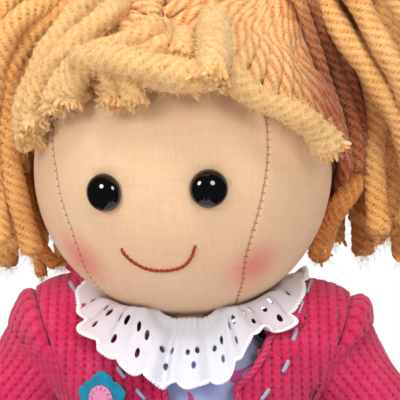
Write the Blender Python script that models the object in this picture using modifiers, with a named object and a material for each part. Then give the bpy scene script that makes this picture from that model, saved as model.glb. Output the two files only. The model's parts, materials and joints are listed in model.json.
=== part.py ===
# Rag doll, seated: stuffed cloth body, gored ball head on a turning neck, yarn hair in two
# bunches, knitted cardigan, frilled collar, gathered skirt, bloomers and strap shoes.
# Metres, +Z up, face towards -Y. The origin is on the floor under the seat.

import math

import bpy
import bmesh
from mathutils import Vector

# Shared clearances and cloth weights
gap = 0.0003
cloth = 0.0008
dress_cloth = 0.0010
knit = 0.0030
overrun = 0.0040
facet_allowance = 0.0004
weld_distance = 0.00001
both_sides = (("left", -1), ("right", 1))

# Head: a ball of four gores round a stuffed core
head_radius = 0.0600
head_yaw_deg = -10.0
head_lean_deg = -2.1
neck_hole_radius = 0.0128
crown_hole_radius = 0.0060
face_half_deg = 45.0
eye_spacing = 0.0390
eye_drop = 0.0090
eye_radius = 0.0070
eye_height = 0.0052
shank_radius = 0.0016
shank_length = 0.0085
washer_radius = 0.0050
washer_thickness = 0.0010
smile_width = 0.0275
smile_sag = 0.0090
smile_low = 0.0390
smile_shift = -0.0030
smile_thread = 0.0005
smile_points = 13
head_steps = 24
head_arc_steps = 11
crown_turn = math.asin(crown_hole_radius / head_radius)
neck_turn = math.pi - math.asin(neck_hole_radius / head_radius)

# Hair
cap_thickness = 0.0075
hairline_slope = 0.55
strand_radius = 0.0046
horn_base_radius = 0.0230
horn_tip_radius = 0.0098
horn_foot_share = 0.95
tie_distance = 0.0860
tie_lean_deg = 32.5
tie_back_deg = 3.5
tie_band = 0.0016
root_ball_radius = 0.0080
root_above_tip = 0.0030
bunch_strands = 8
bunch_drop = 0.0440
bunch_near = 0.0760
bunch_far = 0.0960
bunch_rise = 0.0270
bunch_tuck = 0.0110
bunch_front_deg = -17.0
bunch_back_deg = 46.0
bunch_stations = 7
bunch_heart_radius = 0.0110
bunch_rise_share = 0.35
bunch_short_share = 0.62
bunch_turn_share = 0.70
fringe_lift_start_deg = -20.0
fringe_lift_end_deg = -6.0
fringe_stations = 7

# Neck
neck_pivot_height = 0.0880
neck_length = 0.0620
neck_ball_radius = 0.0128
neck_radius = 0.0122
neck_top = 0.0100
neck_arc_steps = 8

# Torso: half widths of the cover at each height, front to back a share of them
torso_depth_share = 0.80
oval_power = 2.4
torso_outline = (
    (0.0880, 0.0000),
    (0.0880, 0.0150),
    (0.0840, 0.0250),
    (0.0770, 0.0335),
    (0.0680, 0.0365),
    (0.0440, 0.0370),
    (0.0280, 0.0392),
    (0.0160, 0.0392),
    (0.0060, 0.0355),
    (0.0013, 0.0290),
    (0.0013, 0.0000),
)
waist_height = 0.0440
bodice_top = 0.0840
cardigan_bottom = 0.0470
cardigan_back_top = 0.0800
cardigan_front_top = 0.0755
opening_left_deg = 7.0
opening_right_deg = 25.0
side_seam_gap_deg = 0.6
flower_radius = 0.0110
flower_across = 0.0310
flower_height = 0.0600
felt = 0.0015
flower_disc_radius = 0.0050
petal_count = 5
petal_waist_share = 0.58
petal_points = 8

# Collar
band_radius = 0.0170
band_width = 0.0024
band_height = 0.0010
band_bottom = 0.0884
collar_seat = 0.0892
collar_front_reach = 0.0450
collar_side_reach = 0.0480
collar_back_reach = 0.0420
collar_front_rise = -0.0220
collar_side_rise = 0.0172
collar_back_rise = -0.0060
collar_fold = 0.0034
collar_side_fold = 0.0005
collar_fold_slant_share = 0.6
collar_rise_power = 1.25
collar_droop_power = 1.5
collar_fold_count = 9
scallop_count = 34
scallop_depth = 0.0020

# Arms
shoulder_across = 0.0510
shoulder_back = 0.0020
shoulder_height = 0.0820
shoulder_radius = 0.0205
socket_clearance = 0.0005
arm_splay_deg = 39.0
sleeve_length = 0.0600
sleeve_end_radius = 0.0160
cuff_length = 0.0090
cuff_wall = 0.0022
wrist_distance = 0.0715
wrist_radius = 0.0095
hand_distance = 0.0830
hand_radius = 0.0118
arm_length = 0.0960
arm_opening_radius = 0.0040
ball_share = 0.44
sleeve_middle_share = 0.60
hand_shares = ((0.82, 0.60), (0.45, 0.92))
hand_heel_share = 0.94

# Hips, legs and shoes
hip_height = 0.0180
hip_across = 0.0220
strip_radius = 0.0025
strip_half_length = 0.0340
leg_rings = (
    (0.0032, 0.0120, 0.0024),
    (0.0080, 0.0138, 0.0050),
    (0.0160, 0.0150, 0.0100),
    (0.0270, 0.0155, 0.0148),
    (0.0480, 0.0150, 0.0150),
    (0.0800, 0.0130, 0.0130),
    (0.1040, 0.0108, 0.0108),
    (0.1130, 0.0104, 0.0104),
)
bloomer_start = 0.0090
bloomer_length = 0.0400
sole_distance = 0.1160
sole_thickness = 0.0028
sole_half_width = 0.0135
sole_heel = 0.0172
sole_toe = 0.0310
shoe_depth = 0.0190
strap_width = 0.0050
strap_wall = 0.0014
button_radius = 0.0028
button_height = 0.0018
button_shares = ((0.0, 1.0), (0.6, 0.9), (1.0, 0.5), (1.0, 0.0), (0.0, 0.0))

# Skirt
skirt_half_width = 0.0660
skirt_front = -0.1000
skirt_back = 0.0520
skirt_lap_height = 0.0400
skirt_floor_gap = 0.0012
skirt_fold_share = 0.045
skirt_fold_rise = 0.0020
skirt_folds = 12
skirt_flare_power = 1.2
lap_half_width = 0.0440
lap_facing_start = -0.35
lap_facing_end = 0.25


def clear_scene():
    for item in list(bpy.data.objects):
        bpy.data.objects.remove(item, do_unlink=True)


def new_collection(name):
    group = bpy.data.collections.new(name)
    bpy.context.scene.collection.children.link(group)
    return group


def material(name, colour, roughness):
    made = bpy.data.materials.new(name)
    made.use_nodes = True
    shader = made.node_tree.nodes["Principled BSDF"]
    shader.inputs["Base Color"].default_value = (*colour, 1.0)
    shader.inputs["Roughness"].default_value = roughness
    made.diffuse_color = (*colour, 1.0)
    return made


def empty(name, place, turn=(0.0, 0.0, 0.0), parent=None):
    """An axis that moving pieces hang from."""
    axis = bpy.data.objects.new(name, None)
    axis.location = place
    axis.rotation_euler = [math.radians(angle) for angle in turn]
    axis.parent = parent
    doll.objects.link(axis)
    return axis


def placed(name, mesh, finish, parent=None, group=None):
    """A named object of a mesh, in the doll's collection unless another is given."""
    piece = bpy.data.objects.new(name, mesh)
    piece.parent = parent
    if finish is not None:
        mesh.materials.append(finish)
    (group or doll).objects.link(piece)
    return piece


def from_bmesh(name, shape):
    mesh = bpy.data.meshes.new(name)
    shape.to_mesh(mesh)
    shape.free()
    mesh.shade_smooth()
    mesh.set_sharp_from_angle(angle=math.radians(50))
    return mesh


def turned(name, profile, finish, parent=None, steps=20, start=0.0, sweep=360.0, group=None):
    """A profile of (radius, height) points, outer side from top to bottom, turned round Z."""
    mesh = bpy.data.meshes.new(name)
    c, s = math.cos(math.radians(start)), math.sin(math.radians(start))
    points = [(r * c, r * s, z) for r, z in profile]
    mesh.from_pydata(points, [(i, i + 1) for i in range(len(points) - 1)], [])
    piece = placed(name, mesh, finish, parent, group)
    screw = piece.modifiers.new("Turn", "SCREW")
    screw.angle = math.radians(sweep)
    screw.steps = steps
    screw.render_steps = steps
    screw.use_merge_vertices = True
    screw.merge_threshold = weld_distance
    screw.use_smooth_shade = True
    return piece


def thicken(piece, wall, offset=-1.0):
    shell = piece.modifiers.new("Wall", "SOLIDIFY")
    shell.thickness = wall
    shell.offset = offset
    shell.use_even_offset = True
    return piece


def boolean(piece, other, operation="DIFFERENCE", solver="EXACT"):
    change = piece.modifiers.new(other.name, "BOOLEAN")
    change.operation = operation
    change.solver = solver
    change.object = other
    return piece


def as_cutter(piece):
    piece.hide_render = True
    piece.display_type = "WIRE"
    return piece


def ball(name, radius, place, parent=None, segments=32, rings=20, finish=None, group=None):
    shape = bmesh.new()
    bmesh.ops.create_uvsphere(shape, u_segments=segments, v_segments=rings, radius=radius)
    piece = placed(name, from_bmesh(name, shape), finish, parent, group)
    piece.location = place
    return piece


def rod(name, radius, length, place, parent=None, finish=None, group=None, sides=20):
    """A cylinder along its own Z."""
    shape = bmesh.new()
    bmesh.ops.create_cone(
        shape, cap_ends=True, segments=sides, radius1=radius, radius2=radius, depth=length
    )
    piece = placed(name, from_bmesh(name, shape), finish, parent, group)
    piece.location = place
    return piece


def to_mesh(curve):
    """A curve object's solid as a mesh object of the same place, its caps welded on."""
    bpy.context.view_layer.update()
    graph = bpy.context.evaluated_depsgraph_get()
    mesh = bpy.data.meshes.new_from_object(curve.evaluated_get(graph))
    shape = bmesh.new()
    shape.from_mesh(mesh)
    bmesh.ops.remove_doubles(shape, verts=shape.verts, dist=weld_distance)
    bmesh.ops.recalc_face_normals(shape, faces=shape.faces)
    shape.to_mesh(mesh)
    shape.free()
    solid = bpy.data.objects.new(curve.name + "_solid", mesh)
    solid.matrix_world = curve.matrix_world
    for group in curve.users_collection:
        group.objects.link(solid)
    bpy.data.objects.remove(curve)
    return solid


def tube(name, points, radius, finish=None, parent=None, resolution=1, group=None):
    """A round cord through the points, with filled ends."""
    data = bpy.data.curves.new(name, "CURVE")
    data.dimensions = "3D"
    data.bevel_depth = radius
    data.bevel_resolution = resolution
    data.use_fill_caps = True
    spline = data.splines.new("POLY")
    spline.points.add(len(points) - 1)
    for knot, place in zip(spline.points, points):
        knot.co = (*place, 1.0)
    piece = bpy.data.objects.new(name, data)
    piece.parent = parent
    if finish is not None:
        data.materials.append(finish)
    (group or doll).objects.link(piece)
    return piece


def smooth_path(knots, count):
    """Points at even steps along a Catmull-Rom curve through the knots."""
    knots = [Vector(k) for k in knots]
    ends = [2 * knots[0] - knots[1]] + knots + [2 * knots[-1] - knots[-2]]
    path = []
    for i in range(count):
        place = i / (count - 1) * (len(knots) - 1)
        k = min(int(place), len(knots) - 2)
        t = place - k
        a, b, c, d = ends[k : k + 4]
        path.append(
            0.5 * (2 * b + (c - a) * t + (2 * a - 5 * b + 4 * c - d) * t**2 + (3 * b - a - 3 * c + d) * t**3)
        )
    return path


def oval_point(turn, half_width, half_depth):
    """A point of a rounded-square oval: the turn is counted from the front, towards +X."""
    across, along = math.sin(turn), -math.cos(turn)
    power = 2 / oval_power
    return (
        half_width * math.copysign(abs(across) ** power, across),
        half_depth * math.copysign(abs(along) ** power, along),
    )


def oval_loft(name, rings, finish, parent=None, sides=24, ends=(True, True), sweep=None):
    """Ovals (height, half width, half depth), top ring first, joined into a skin."""
    start, stop = sweep or (0.0, 360.0)
    whole = sweep is None
    count = sides if whole else sides + 1
    shape = bmesh.new()
    rows = []
    for z, half_width, half_depth in rings:
        row = []
        for i in range(count):
            turn = math.radians(start + (stop - start) * i / sides)
            x, y = oval_point(turn, half_width, half_depth)
            row.append(shape.verts.new((x, y, z)))
        rows.append(row)
    for upper, lower in zip(rows, rows[1:]):
        for i in range(sides):
            j = (i + 1) % count
            shape.faces.new((upper[i], lower[i], lower[j], upper[j]))
    if whole and ends[0]:
        shape.faces.new(rows[0])
    if whole and ends[1]:
        shape.faces.new(list(reversed(rows[-1])))
    return placed(name, from_bmesh(name, shape), finish, parent)


def offset_outline(outline, offset):
    """The outline (height, half width), top to bottom, moved outwards square to its sides."""
    moved = []
    for i, (z, w) in enumerate(outline):
        normals = []
        for j in (i - 1, i):
            if 0 <= j < len(outline) - 1:
                side = Vector((outline[j + 1][1] - outline[j][1], outline[j + 1][0] - outline[j][0]))
                normals.append(Vector((-side.y, side.x)).normalized())
        out = sum(normals, Vector((0, 0)))
        out /= max(out.dot(normals[0]), 0.3)
        moved.append((z + out.y * offset, w + out.x * offset if w else 0.0))
    return moved


def torso_rings(offset, low=None, high=None):
    """The torso's ovals moved outwards by the offset, trimmed to two heights where given."""
    rings = []
    for (_, bare), (z, w) in zip(torso_outline, offset_outline(torso_outline, offset)):
        if bare:
            rings.append((z, w, bare * torso_depth_share + w - bare))
    if high is not None:
        rings = [ring_between(rings, high)] + [ring for ring in rings if ring[0] < high]
    if low is not None:
        rings = [ring for ring in rings if ring[0] > low] + [ring_between(rings, low)]
    return rings


def torso_width(height):
    return ring_between(torso_rings(0.0), height)[1]


def ring_between(rings, height):
    """The oval of a loft at a height, from the rings above and below it."""
    for upper, lower in zip(rings, rings[1:]):
        if lower[0] <= height <= upper[0]:
            t = (upper[0] - height) / (upper[0] - lower[0])
            return (height, upper[1] + (lower[1] - upper[1]) * t, upper[2] + (lower[2] - upper[2]) * t)
    return rings[-1]


def on_head(azimuth_deg, height_deg, radius):
    """A place round the head: azimuth from the middle of the face towards +X, angle above level."""
    a, e = math.radians(azimuth_deg), math.radians(height_deg)
    return Vector((radius * math.sin(a) * math.cos(e), -radius * math.cos(a) * math.cos(e), radius * math.sin(e)))


def smoothstep(low, high, value):
    t = min(max((value - low) / (high - low), 0.0), 1.0)
    return t * t * (3 - 2 * t)


def head_arc(radius, top, bottom):
    """Points of a head-centred arc between two angles from the crown."""
    arc = []
    for i in range(head_arc_steps + 1):
        polar = top + (bottom - top) * i / head_arc_steps
        arc.append((radius * math.sin(polar), radius * math.cos(polar)))
    return arc


def head_ball(name, radius, finish, axis, group=None):
    """A ball whose facets lie square under those of the head's panels."""
    arc = head_arc(radius, crown_turn, neck_turn)
    arc = [(0.0, arc[0][1])] + arc + [(0.0, arc[-1][1])]
    return turned(name, arc, finish, axis, head_steps, face_half_deg - 90.0, group=group)


def make_head(axis):
    filling = head_ball("head_filling", head_radius - cloth - gap, stuffing, axis)
    bore = rod("neck_bore", neck_hole_radius, head_radius, (0, 0, 0), axis, group=cutters)
    bore.location.z = -neck_length + neck_top + gap - head_radius / 2
    boolean(filling, as_cutter(bore))

    # Gores: arcs from the crown hole to the neck hole, turned through each panel's share
    arc = head_arc(head_radius, crown_turn, neck_turn)
    mitre = cloth * math.tan(math.pi / head_steps)
    seam = math.degrees((gap / 2 + mitre) / head_radius)
    face = -90.0
    front_steps = round(head_steps * 2 * face_half_deg / 360)
    side_steps = head_steps // 2 - front_steps
    spans = {
        "face_panel": (face - face_half_deg, face + face_half_deg, front_steps),
        "side_panel_right": (face + face_half_deg, 90.0 - face_half_deg, side_steps),
        "back_panel": (90.0 - face_half_deg, 90.0 + face_half_deg, front_steps),
        "side_panel_left": (90.0 + face_half_deg, 270.0 - face_half_deg, side_steps),
    }
    panels = {}
    for name, (start, stop, steps) in spans.items():
        panel = turned(name, arc, skin, axis, steps, start + seam, stop - start - 2 * seam)
        panels[name] = thicken(panel, cloth)

    for side, sign in both_sides:
        make_eye(side, sign, axis, panels["face_panel"], filling)

    thread = []
    for i in range(smile_points):
        share = 2 * i / (smile_points - 1) - 1
        x = smile_shift + share * smile_width / 2
        z = -smile_low + smile_sag * share**2
        reach = head_radius + gap + smile_thread
        thread.append((x, -math.sqrt(reach**2 - x**2 - z**2), z))
    tube("smile_stitch", thread, smile_thread, smile_red, axis)


def make_eye(side, sign, axis, panel, filling):
    """A domed eye whose shank passes the cloth and a washer behind it."""
    x = sign * eye_spacing / 2
    y = -math.sqrt(head_radius**2 - x**2 - eye_drop**2)
    outward = Vector((x, y, -eye_drop)).normalized()
    seat = empty(f"eye_{side}_axis", outward * (head_radius + gap), parent=axis)
    seat.rotation_mode = "QUATERNION"
    seat.rotation_quaternion = outward.to_track_quat("Z", "Y")
    dome = [(0.0, eye_height)]
    for i in range(1, 6):
        turn = math.pi / 2 * i / 5
        dome.append((eye_radius * math.sin(turn), eye_height * math.cos(turn)))
    dome += [(shank_radius, 0.0), (shank_radius, -shank_length), (0.0, -shank_length)]
    turned(f"eye_{side}", dome, eye_black, seat, 14)
    facet_sag = head_radius * (2 - math.cos(math.pi / head_steps) - math.cos(math.pi / 2 / head_arc_steps))
    front = -(cloth + 2 * gap) - washer_radius**2 / (2 * head_radius) - facet_sag
    back = front - washer_thickness
    inner = shank_radius + gap
    ring = [(washer_radius, front), (washer_radius, back), (inner, back), (inner, front), (washer_radius, front)]
    turned(f"eye_washer_{side}", ring, washer_white, seat, 14)
    hole = rod(f"eye_hole_{side}", inner, 2 * shank_length, (0, 0, -2 * gap), seat, group=cutters, sides=12)
    boolean(panel, as_cutter(hole))
    boolean(filling, hole)
    pocket_depth = washer_thickness + 2 * gap
    pocket = rod(f"washer_pocket_{side}", washer_radius + gap, overrun, (0, 0, 0), seat, group=cutters, sides=12)
    pocket.location.z = front + gap - pocket_depth + overrun / 2
    boolean(filling, as_cutter(pocket))


def make_hair(axis):
    inner = head_radius + gap
    outer = inner + cap_thickness
    cap = ball("hair_cap", outer, (0, 0, 0), axis, 26, 15, wool)
    shape = bmesh.new()
    shape.from_mesh(cap.data)
    bmesh.ops.bisect_plane(
        shape,
        geom=shape.verts[:] + shape.edges[:] + shape.faces[:],
        plane_co=(0, 0, 0),
        plane_no=(0, -hairline_slope, -1),
        clear_outer=True,
    )
    rim = [edge for edge in shape.edges if edge.is_boundary]
    bmesh.ops.contextual_create(shape, geom=rim)
    bmesh.ops.recalc_face_normals(shape, faces=shape.faces)
    shape.to_mesh(cap.data)
    shape.free()
    ties = {}
    for side, sign in both_sides:
        lean = math.radians(tie_lean_deg)
        back = math.radians(tie_back_deg)
        along = Vector((sign * math.sin(lean), math.cos(lean) * math.sin(back), math.cos(lean) * math.cos(back)))
        tie = empty(f"bunch_{side}_pivot", along * tie_distance, parent=axis)
        ties[side] = tie
        frame = empty(f"tie_{side}_axis", along * tie_distance, parent=axis)
        frame.rotation_mode = "QUATERNION"
        frame.rotation_quaternion = along.to_track_quat("Z", "Y")
        # The hair drawn up to the tie, and the cup in which the bunch turns
        foot = -(tie_distance - head_radius * horn_foot_share)
        tip = -root_above_tip
        shape = bmesh.new()
        bmesh.ops.create_cone(
            shape,
            cap_ends=True,
            segments=16,
            radius1=horn_base_radius,
            radius2=horn_tip_radius,
            depth=tip - foot,
        )
        horn = placed(f"horn_{side}", from_bmesh(f"horn_{side}", shape), None, frame, cutters)
        horn.location = (0, 0, (tip + foot) / 2)
        boolean(cap, as_cutter(horn), "UNION")
        cup = ball(f"cup_{side}", root_ball_radius + 2 * gap, (0, 0, 0), frame, 16, 10, group=cutters)
        boolean(cap, as_cutter(cup))
        drop = root_above_tip + 2 * tie_band
        slope = (horn_base_radius - horn_tip_radius) / (tip - foot)
        band_at = horn_tip_radius + slope * (drop - root_above_tip + tie_band) + gap
        bpy.ops.mesh.primitive_torus_add(
            major_radius=band_at + tie_band, minor_radius=tie_band, major_segments=16, minor_segments=6
        )
        band = bpy.context.object
        band.name = f"hair_tie_{side}"
        for group in band.users_collection:
            group.objects.unlink(band)
        doll.objects.link(band)
        band.data.materials.append(tie_blue)
        band.data.shade_smooth()
        band.parent = frame
        band.location = (0, 0, -drop)
    skull = head_ball("head_space", inner, None, axis, cutters)
    boolean(cap, as_cutter(skull))
    for side, sign in both_sides:
        make_bunch(side, sign, ties[side])
    make_fringe(axis, outer)


def make_bunch(side, sign, pivot):
    """Strands that leave the tie outwards, arch over and hang clear of the head."""
    start = pivot.location.copy()
    reach_start = math.hypot(start.x, start.y)
    turn_start = math.degrees(math.atan2(start.y, abs(start.x)))
    root = ball(f"bunch_{side}", root_ball_radius, (0, 0, 0), pivot, 12, 8, wool)
    heart = []
    for i in range(bunch_strands):
        share = i / (bunch_strands - 1)
        turn_end = bunch_front_deg + (bunch_back_deg - bunch_front_deg) * share
        ring = (i * 7 % bunch_strands) / (bunch_strands - 1)
        reach = bunch_near + (bunch_far - bunch_near) * ring
        rise = bunch_rise * (bunch_rise_share + (1 - bunch_rise_share) * ring)
        low = -bunch_drop * (bunch_short_share + (1 - bunch_short_share) * ((i * 3 + 1) % 4) / 3)
        knots = []
        for k in range(bunch_stations):
            t = k / (bunch_stations - 1)
            out = reach_start + (reach - reach_start) * (1 - (1 - t) ** 3)
            z = start.z + rise * 4 * t * (1 - t) + (low - start.z) * t**2
            tuck = bunch_tuck * smoothstep(0.0, bunch_drop, -z) * (1 - ring)
            turn = math.radians(turn_start + (turn_end - turn_start) * smoothstep(0, bunch_turn_share, t))
            place = Vector((sign * (out - tuck) * math.cos(turn), (out - tuck) * math.sin(turn), z))
            knots.append(place - start)
        heart.append(knots)
        strand = to_mesh(tube(f"bunch_{side}_strand_{i}", knots, strand_radius, group=cutters))
        strand.parent = pivot
        boolean(root, as_cutter(strand), "UNION", "MANIFOLD")
    # The gathered middle of the bunch, where the strands lie packed together
    middle = []
    for k in range(5):
        middle.append(sum((knots[k] for knots in heart), Vector()) / len(heart))
    packed = to_mesh(tube(f"bunch_{side}_heart", middle[1:], bunch_heart_radius, group=cutters, resolution=2))
    packed.parent = pivot
    boolean(root, as_cutter(packed), "UNION", "MANIFOLD")


# Fringe strands: (azimuth, angle above level) in degrees, root first
fringe_routes_deg = (
    ((-8, 62), (-28, 57), (-52, 49), (-66, 37), (-67, 24), (-60, 12)),
    ((2, 62), (-20, 54), (-46, 42), (-56, 30), (-52, 16)),
    ((-2, 60), (-7, 51), (-25, 44), (-33, 31), (-38, 20), (-40, 13)),
    ((8, 62), (-14, 50), (-23, 33), (-15, 24), (-11, 16)),
    ((16, 62), (2, 52), (-2, 42), (6, 38)),
    ((-40, 44), (-26, 38), (-2, 33), (16, 31), (27, 34), (32, 42)),
    ((20, 64), (19, 50), (20, 38), (19, 27)),
    ((22, 62), (24, 48), (30, 36), (38, 26), (52, 16), (64, 8)),
)
fringe_root_deg = ((-42, 61), (-20, 63), (4, 64), (26, 62))


def make_fringe(axis, cap_outer):
    """Loose strands over the forehead, on the cap as far as its edge and then nearer the face."""
    over_cap = cap_outer + gap + strand_radius
    over_face = head_radius + 3 * gap + strand_radius
    pieces = []
    for i, route in enumerate((fringe_root_deg,) + fringe_routes_deg):
        knots = []
        for place in smooth_path([(a, h, 0) for a, h in route], fringe_stations):
            line = math.degrees(math.atan(hairline_slope * math.cos(math.radians(place.x))))
            lift = smoothstep(line + fringe_lift_start_deg, line + fringe_lift_end_deg, place.y)
            radius = over_face + (over_cap - over_face) * lift
            knots.append(on_head(place.x, place.y, radius))
        strand = to_mesh(tube(f"fringe_strand_{i}", knots, strand_radius, group=cutters))
        strand.parent = axis
        pieces.append(strand)
    base = pieces[0]
    base.name = "fringe"
    base.data.materials.append(wool)
    cutters.objects.unlink(base)
    doll.objects.link(base)
    for strand in pieces[1:]:
        boolean(base, as_cutter(strand), "UNION", "MANIFOLD")


def make_neck(axis):
    """Stuffed neck: a ball in the torso's socket and a stem that the head turns on."""
    profile = [(0.0, neck_top), (neck_radius, neck_top)]
    start = math.asin(neck_radius / neck_ball_radius)
    for i in range(neck_arc_steps + 1):
        polar = start + (math.pi - start) * i / neck_arc_steps
        profile.append((neck_ball_radius * math.sin(polar), neck_ball_radius * math.cos(polar)))
    turned("neck_stub", profile, skin, axis, 14)


def make_torso():
    cover = oval_loft("torso_cover", torso_rings(0.0), skin)
    thicken(cover, cloth)
    filling = oval_loft("torso_filling", torso_rings(-cloth - gap), stuffing)
    bodice = oval_loft(
        "dress_bodice",
        torso_rings(gap, waist_height + gap, bodice_top),
        print_cloth,
        ends=(False, False),
    )
    thicken(bodice, dress_cloth, 1.0)
    seat = oval_loft("bloomers_seat", torso_rings(gap + dress_cloth, None, waist_height), lawn, ends=(False, True))
    thicken(seat, dress_cloth)

    out = gap + dress_cloth + gap + facet_allowance
    seam = side_seam_gap_deg / 2
    back = oval_loft(
        "cardigan_back",
        torso_rings(out, cardigan_bottom, cardigan_back_top),
        pink_knit,
        sides=12,
        sweep=(90 + seam, 270 - seam),
    )
    left = oval_loft(
        "cardigan_front_left",
        torso_rings(out, cardigan_bottom, cardigan_front_top),
        pink_knit,
        sides=6,
        sweep=(-90 + seam, -opening_left_deg),
    )
    right = oval_loft(
        "cardigan_front_right",
        torso_rings(out, cardigan_bottom, cardigan_front_top),
        pink_knit,
        sides=5,
        sweep=(opening_right_deg, 90 - seam),
    )
    for piece in (back, left, right):
        thicken(piece, knit, 1.0)

    socket = ball("neck_socket", neck_ball_radius + 2 * gap, (0, 0, neck_pivot_height), None, 20, 12, group=cutters)
    as_cutter(socket)
    boolean(cover, socket)
    boolean(filling, socket)
    for side, sign in both_sides:
        hollow = ball(
            f"arm_socket_{side}",
            shoulder_radius + socket_clearance,
            (sign * shoulder_across, shoulder_back, shoulder_height),
            None,
            20,
            14,
            group=cutters,
        )
        as_cutter(hollow)
        for piece in (cover, filling, bodice, back, left if sign < 0 else right):
            boolean(piece, hollow)
    make_flower(out + knit)
    make_collar()


def make_flower(surface):
    """Felt flower sewn flat to the left front: lobed petals and a round centre."""
    width = torso_width(flower_height)
    half_width = width + surface
    half_depth = width * torso_depth_share + surface
    share = flower_across / half_width
    depth = (1 - share**oval_power) ** (1 / oval_power)
    place = Vector((-flower_across, -half_depth * depth, flower_height))
    outward = Vector(
        (-(share ** (oval_power - 1)) / half_width, -(depth ** (oval_power - 1)) / half_depth, 0)
    ).normalized()
    seat = empty("flower_axis", place + outward * gap)
    seat.rotation_mode = "QUATERNION"
    seat.rotation_quaternion = outward.to_track_quat("Z", "Y")
    outline = []
    for i in range(petal_points * petal_count):
        wave = abs(math.cos(math.pi * i / petal_points))
        outline.append(flower_radius * (petal_waist_share + (1 - petal_waist_share) * wave**0.5))
    flat_piece("flower_petals", outline, felt, teal_felt, seat, 0.0)
    disc = [flower_disc_radius] * 16
    flat_piece("flower_centre", disc, felt, print_cloth, seat, felt + gap)


def flat_piece(name, radii, thickness, finish, parent, lift):
    """A flat outline given by its radius at even turns, extruded upwards from the lift."""
    data = bpy.data.curves.new(name, "CURVE")
    data.dimensions = "2D"
    data.fill_mode = "BOTH"
    data.extrude = thickness / 2
    spline = data.splines.new("POLY")
    spline.points.add(len(radii) - 1)
    for i, (knot, radius) in enumerate(zip(spline.points, radii)):
        turn = 2 * math.pi * i / len(radii)
        knot.co = (radius * math.cos(turn), radius * math.sin(turn), 0, 1)
    spline.use_cyclic_u = True
    data.materials.append(finish)
    piece = bpy.data.objects.new(name, data)
    piece.parent = parent
    piece.location = (0, 0, lift + thickness / 2)
    doll.objects.link(piece)
    return piece


def by_side(turn, front, side, back):
    """Blends three values round the body: front at 0 degrees, side at 90, back at 180."""
    facing = math.cos(turn)
    edge = back if facing < 0 else front
    return side + (edge - side) * facing**2


def make_collar():
    inner = band_radius - band_width
    top = band_bottom + band_height
    ring = [(band_radius, top), (band_radius, band_bottom), (inner, band_bottom), (inner, top), (band_radius, top)]
    turned("collar_band", ring, white_lace, None, 14)
    # Frill: rings from the band outwards, with folds that deepen towards a scalloped edge
    shape = bmesh.new()
    around, across = 2 * scallop_count, 4
    rows = []
    for j in range(across + 1):
        t = j / across
        row = []
        for i in range(around):
            turn = 2 * math.pi * i / around
            reach = by_side(turn, collar_front_reach, collar_side_reach, collar_back_reach)
            rise = by_side(turn, collar_front_rise, collar_side_rise, collar_back_rise)
            fold = by_side(turn, collar_fold, collar_side_fold, collar_fold)
            start = band_radius + gap
            out = start + (reach - start) * t
            out += scallop_depth / 2 * (1 if i % 2 else -1) * t**6
            wave = fold * math.cos(collar_fold_count * turn) * t**collar_droop_power
            z = collar_seat + rise * t ** (collar_rise_power if rise > 0 else collar_droop_power) + wave
            out += wave * (collar_fold_slant_share if rise < 0 else 0.0)
            row.append(shape.verts.new((out * math.sin(turn), -out * math.cos(turn), z)))
        rows.append(row)
    for near, far in zip(rows, rows[1:]):
        for i in range(around):
            k = (i + 1) % around
            shape.faces.new((near[i], far[i], far[k], near[k]))
    frill = placed("collar_frill", from_bmesh("collar_frill", shape), white_lace)
    thicken(frill, cloth)


def make_arm(side, sign):
    pivot = empty(
        f"arm_{side}_pivot",
        (sign * shoulder_across, shoulder_back, shoulder_height),
        (0, -sign * arm_splay_deg, 0),
    )
    thicken(turned(f"sleeve_{side}", sleeve_points(), pink_knit, pivot, 12), knit)
    cover = arm_points()
    first = arm_opening_radius / cover[1][0]
    opening = [(arm_opening_radius, cover[0][1] + (cover[1][1] - cover[0][1]) * first)]
    thicken(turned(f"arm_cover_{side}", opening + cover[1:], skin, pivot, 12), cloth)
    turned(f"arm_filling_{side}", inset(cover, cloth + gap), stuffing, pivot, 12)
    cuff_in = sleeve_end_radius - knit
    cuff_out = cuff_in + cuff_wall
    cuff_top = -sleeve_length - gap
    cuff_low = cuff_top - cuff_length
    ring = [(cuff_out + gap, cuff_top), (cuff_out, cuff_low), (cuff_in, cuff_low), (cuff_in, cuff_top)]
    turned(f"sleeve_cuff_{side}", ring + ring[:1], pink_knit, pivot, 12)


def dome_points(radius, steps):
    """A quarter circle from the top of a ball down to its waist."""
    points = []
    for i in range(steps + 1):
        turn = math.pi / 2 * i / steps
        points.append((radius * math.sin(turn), radius * math.cos(turn)))
    return points


def sleeve_points():
    """The sleeve's side: a ball at the shoulder that runs on into a tapering tube."""
    points = dome_points(shoulder_radius, 4)
    leave = shoulder_radius * ball_share
    points.append((math.sqrt(shoulder_radius**2 - leave**2), -leave))
    points.append(((points[-1][0] + sleeve_end_radius) / 2, -sleeve_length * sleeve_middle_share))
    points.append((sleeve_end_radius, -sleeve_length))
    return points


def arm_points():
    """The stuffed arm's side: under the sleeve a gap inside it, then wrist and rounded hand."""
    hidden = inset([(0.0, shoulder_radius)] + sleeve_points()[1:], knit + gap)
    tip = arm_length - hand_distance
    hand = [
        (wrist_radius, -wrist_distance),
        (hand_radius * hand_heel_share, -(wrist_distance + hand_distance) / 2),
        (hand_radius, -hand_distance),
    ]
    for across, along in hand_shares:
        hand.append((hand_radius * across, -hand_distance - tip * along))
    return hidden + hand + [(0.0, -arm_length)]


def inset(profile, depth):
    """A turned profile (radius, height) drawn inwards square to its sides."""
    moved = offset_outline([(z, r) for r, z in profile], -depth)
    return [(r, z) for z, r in moved]


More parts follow.
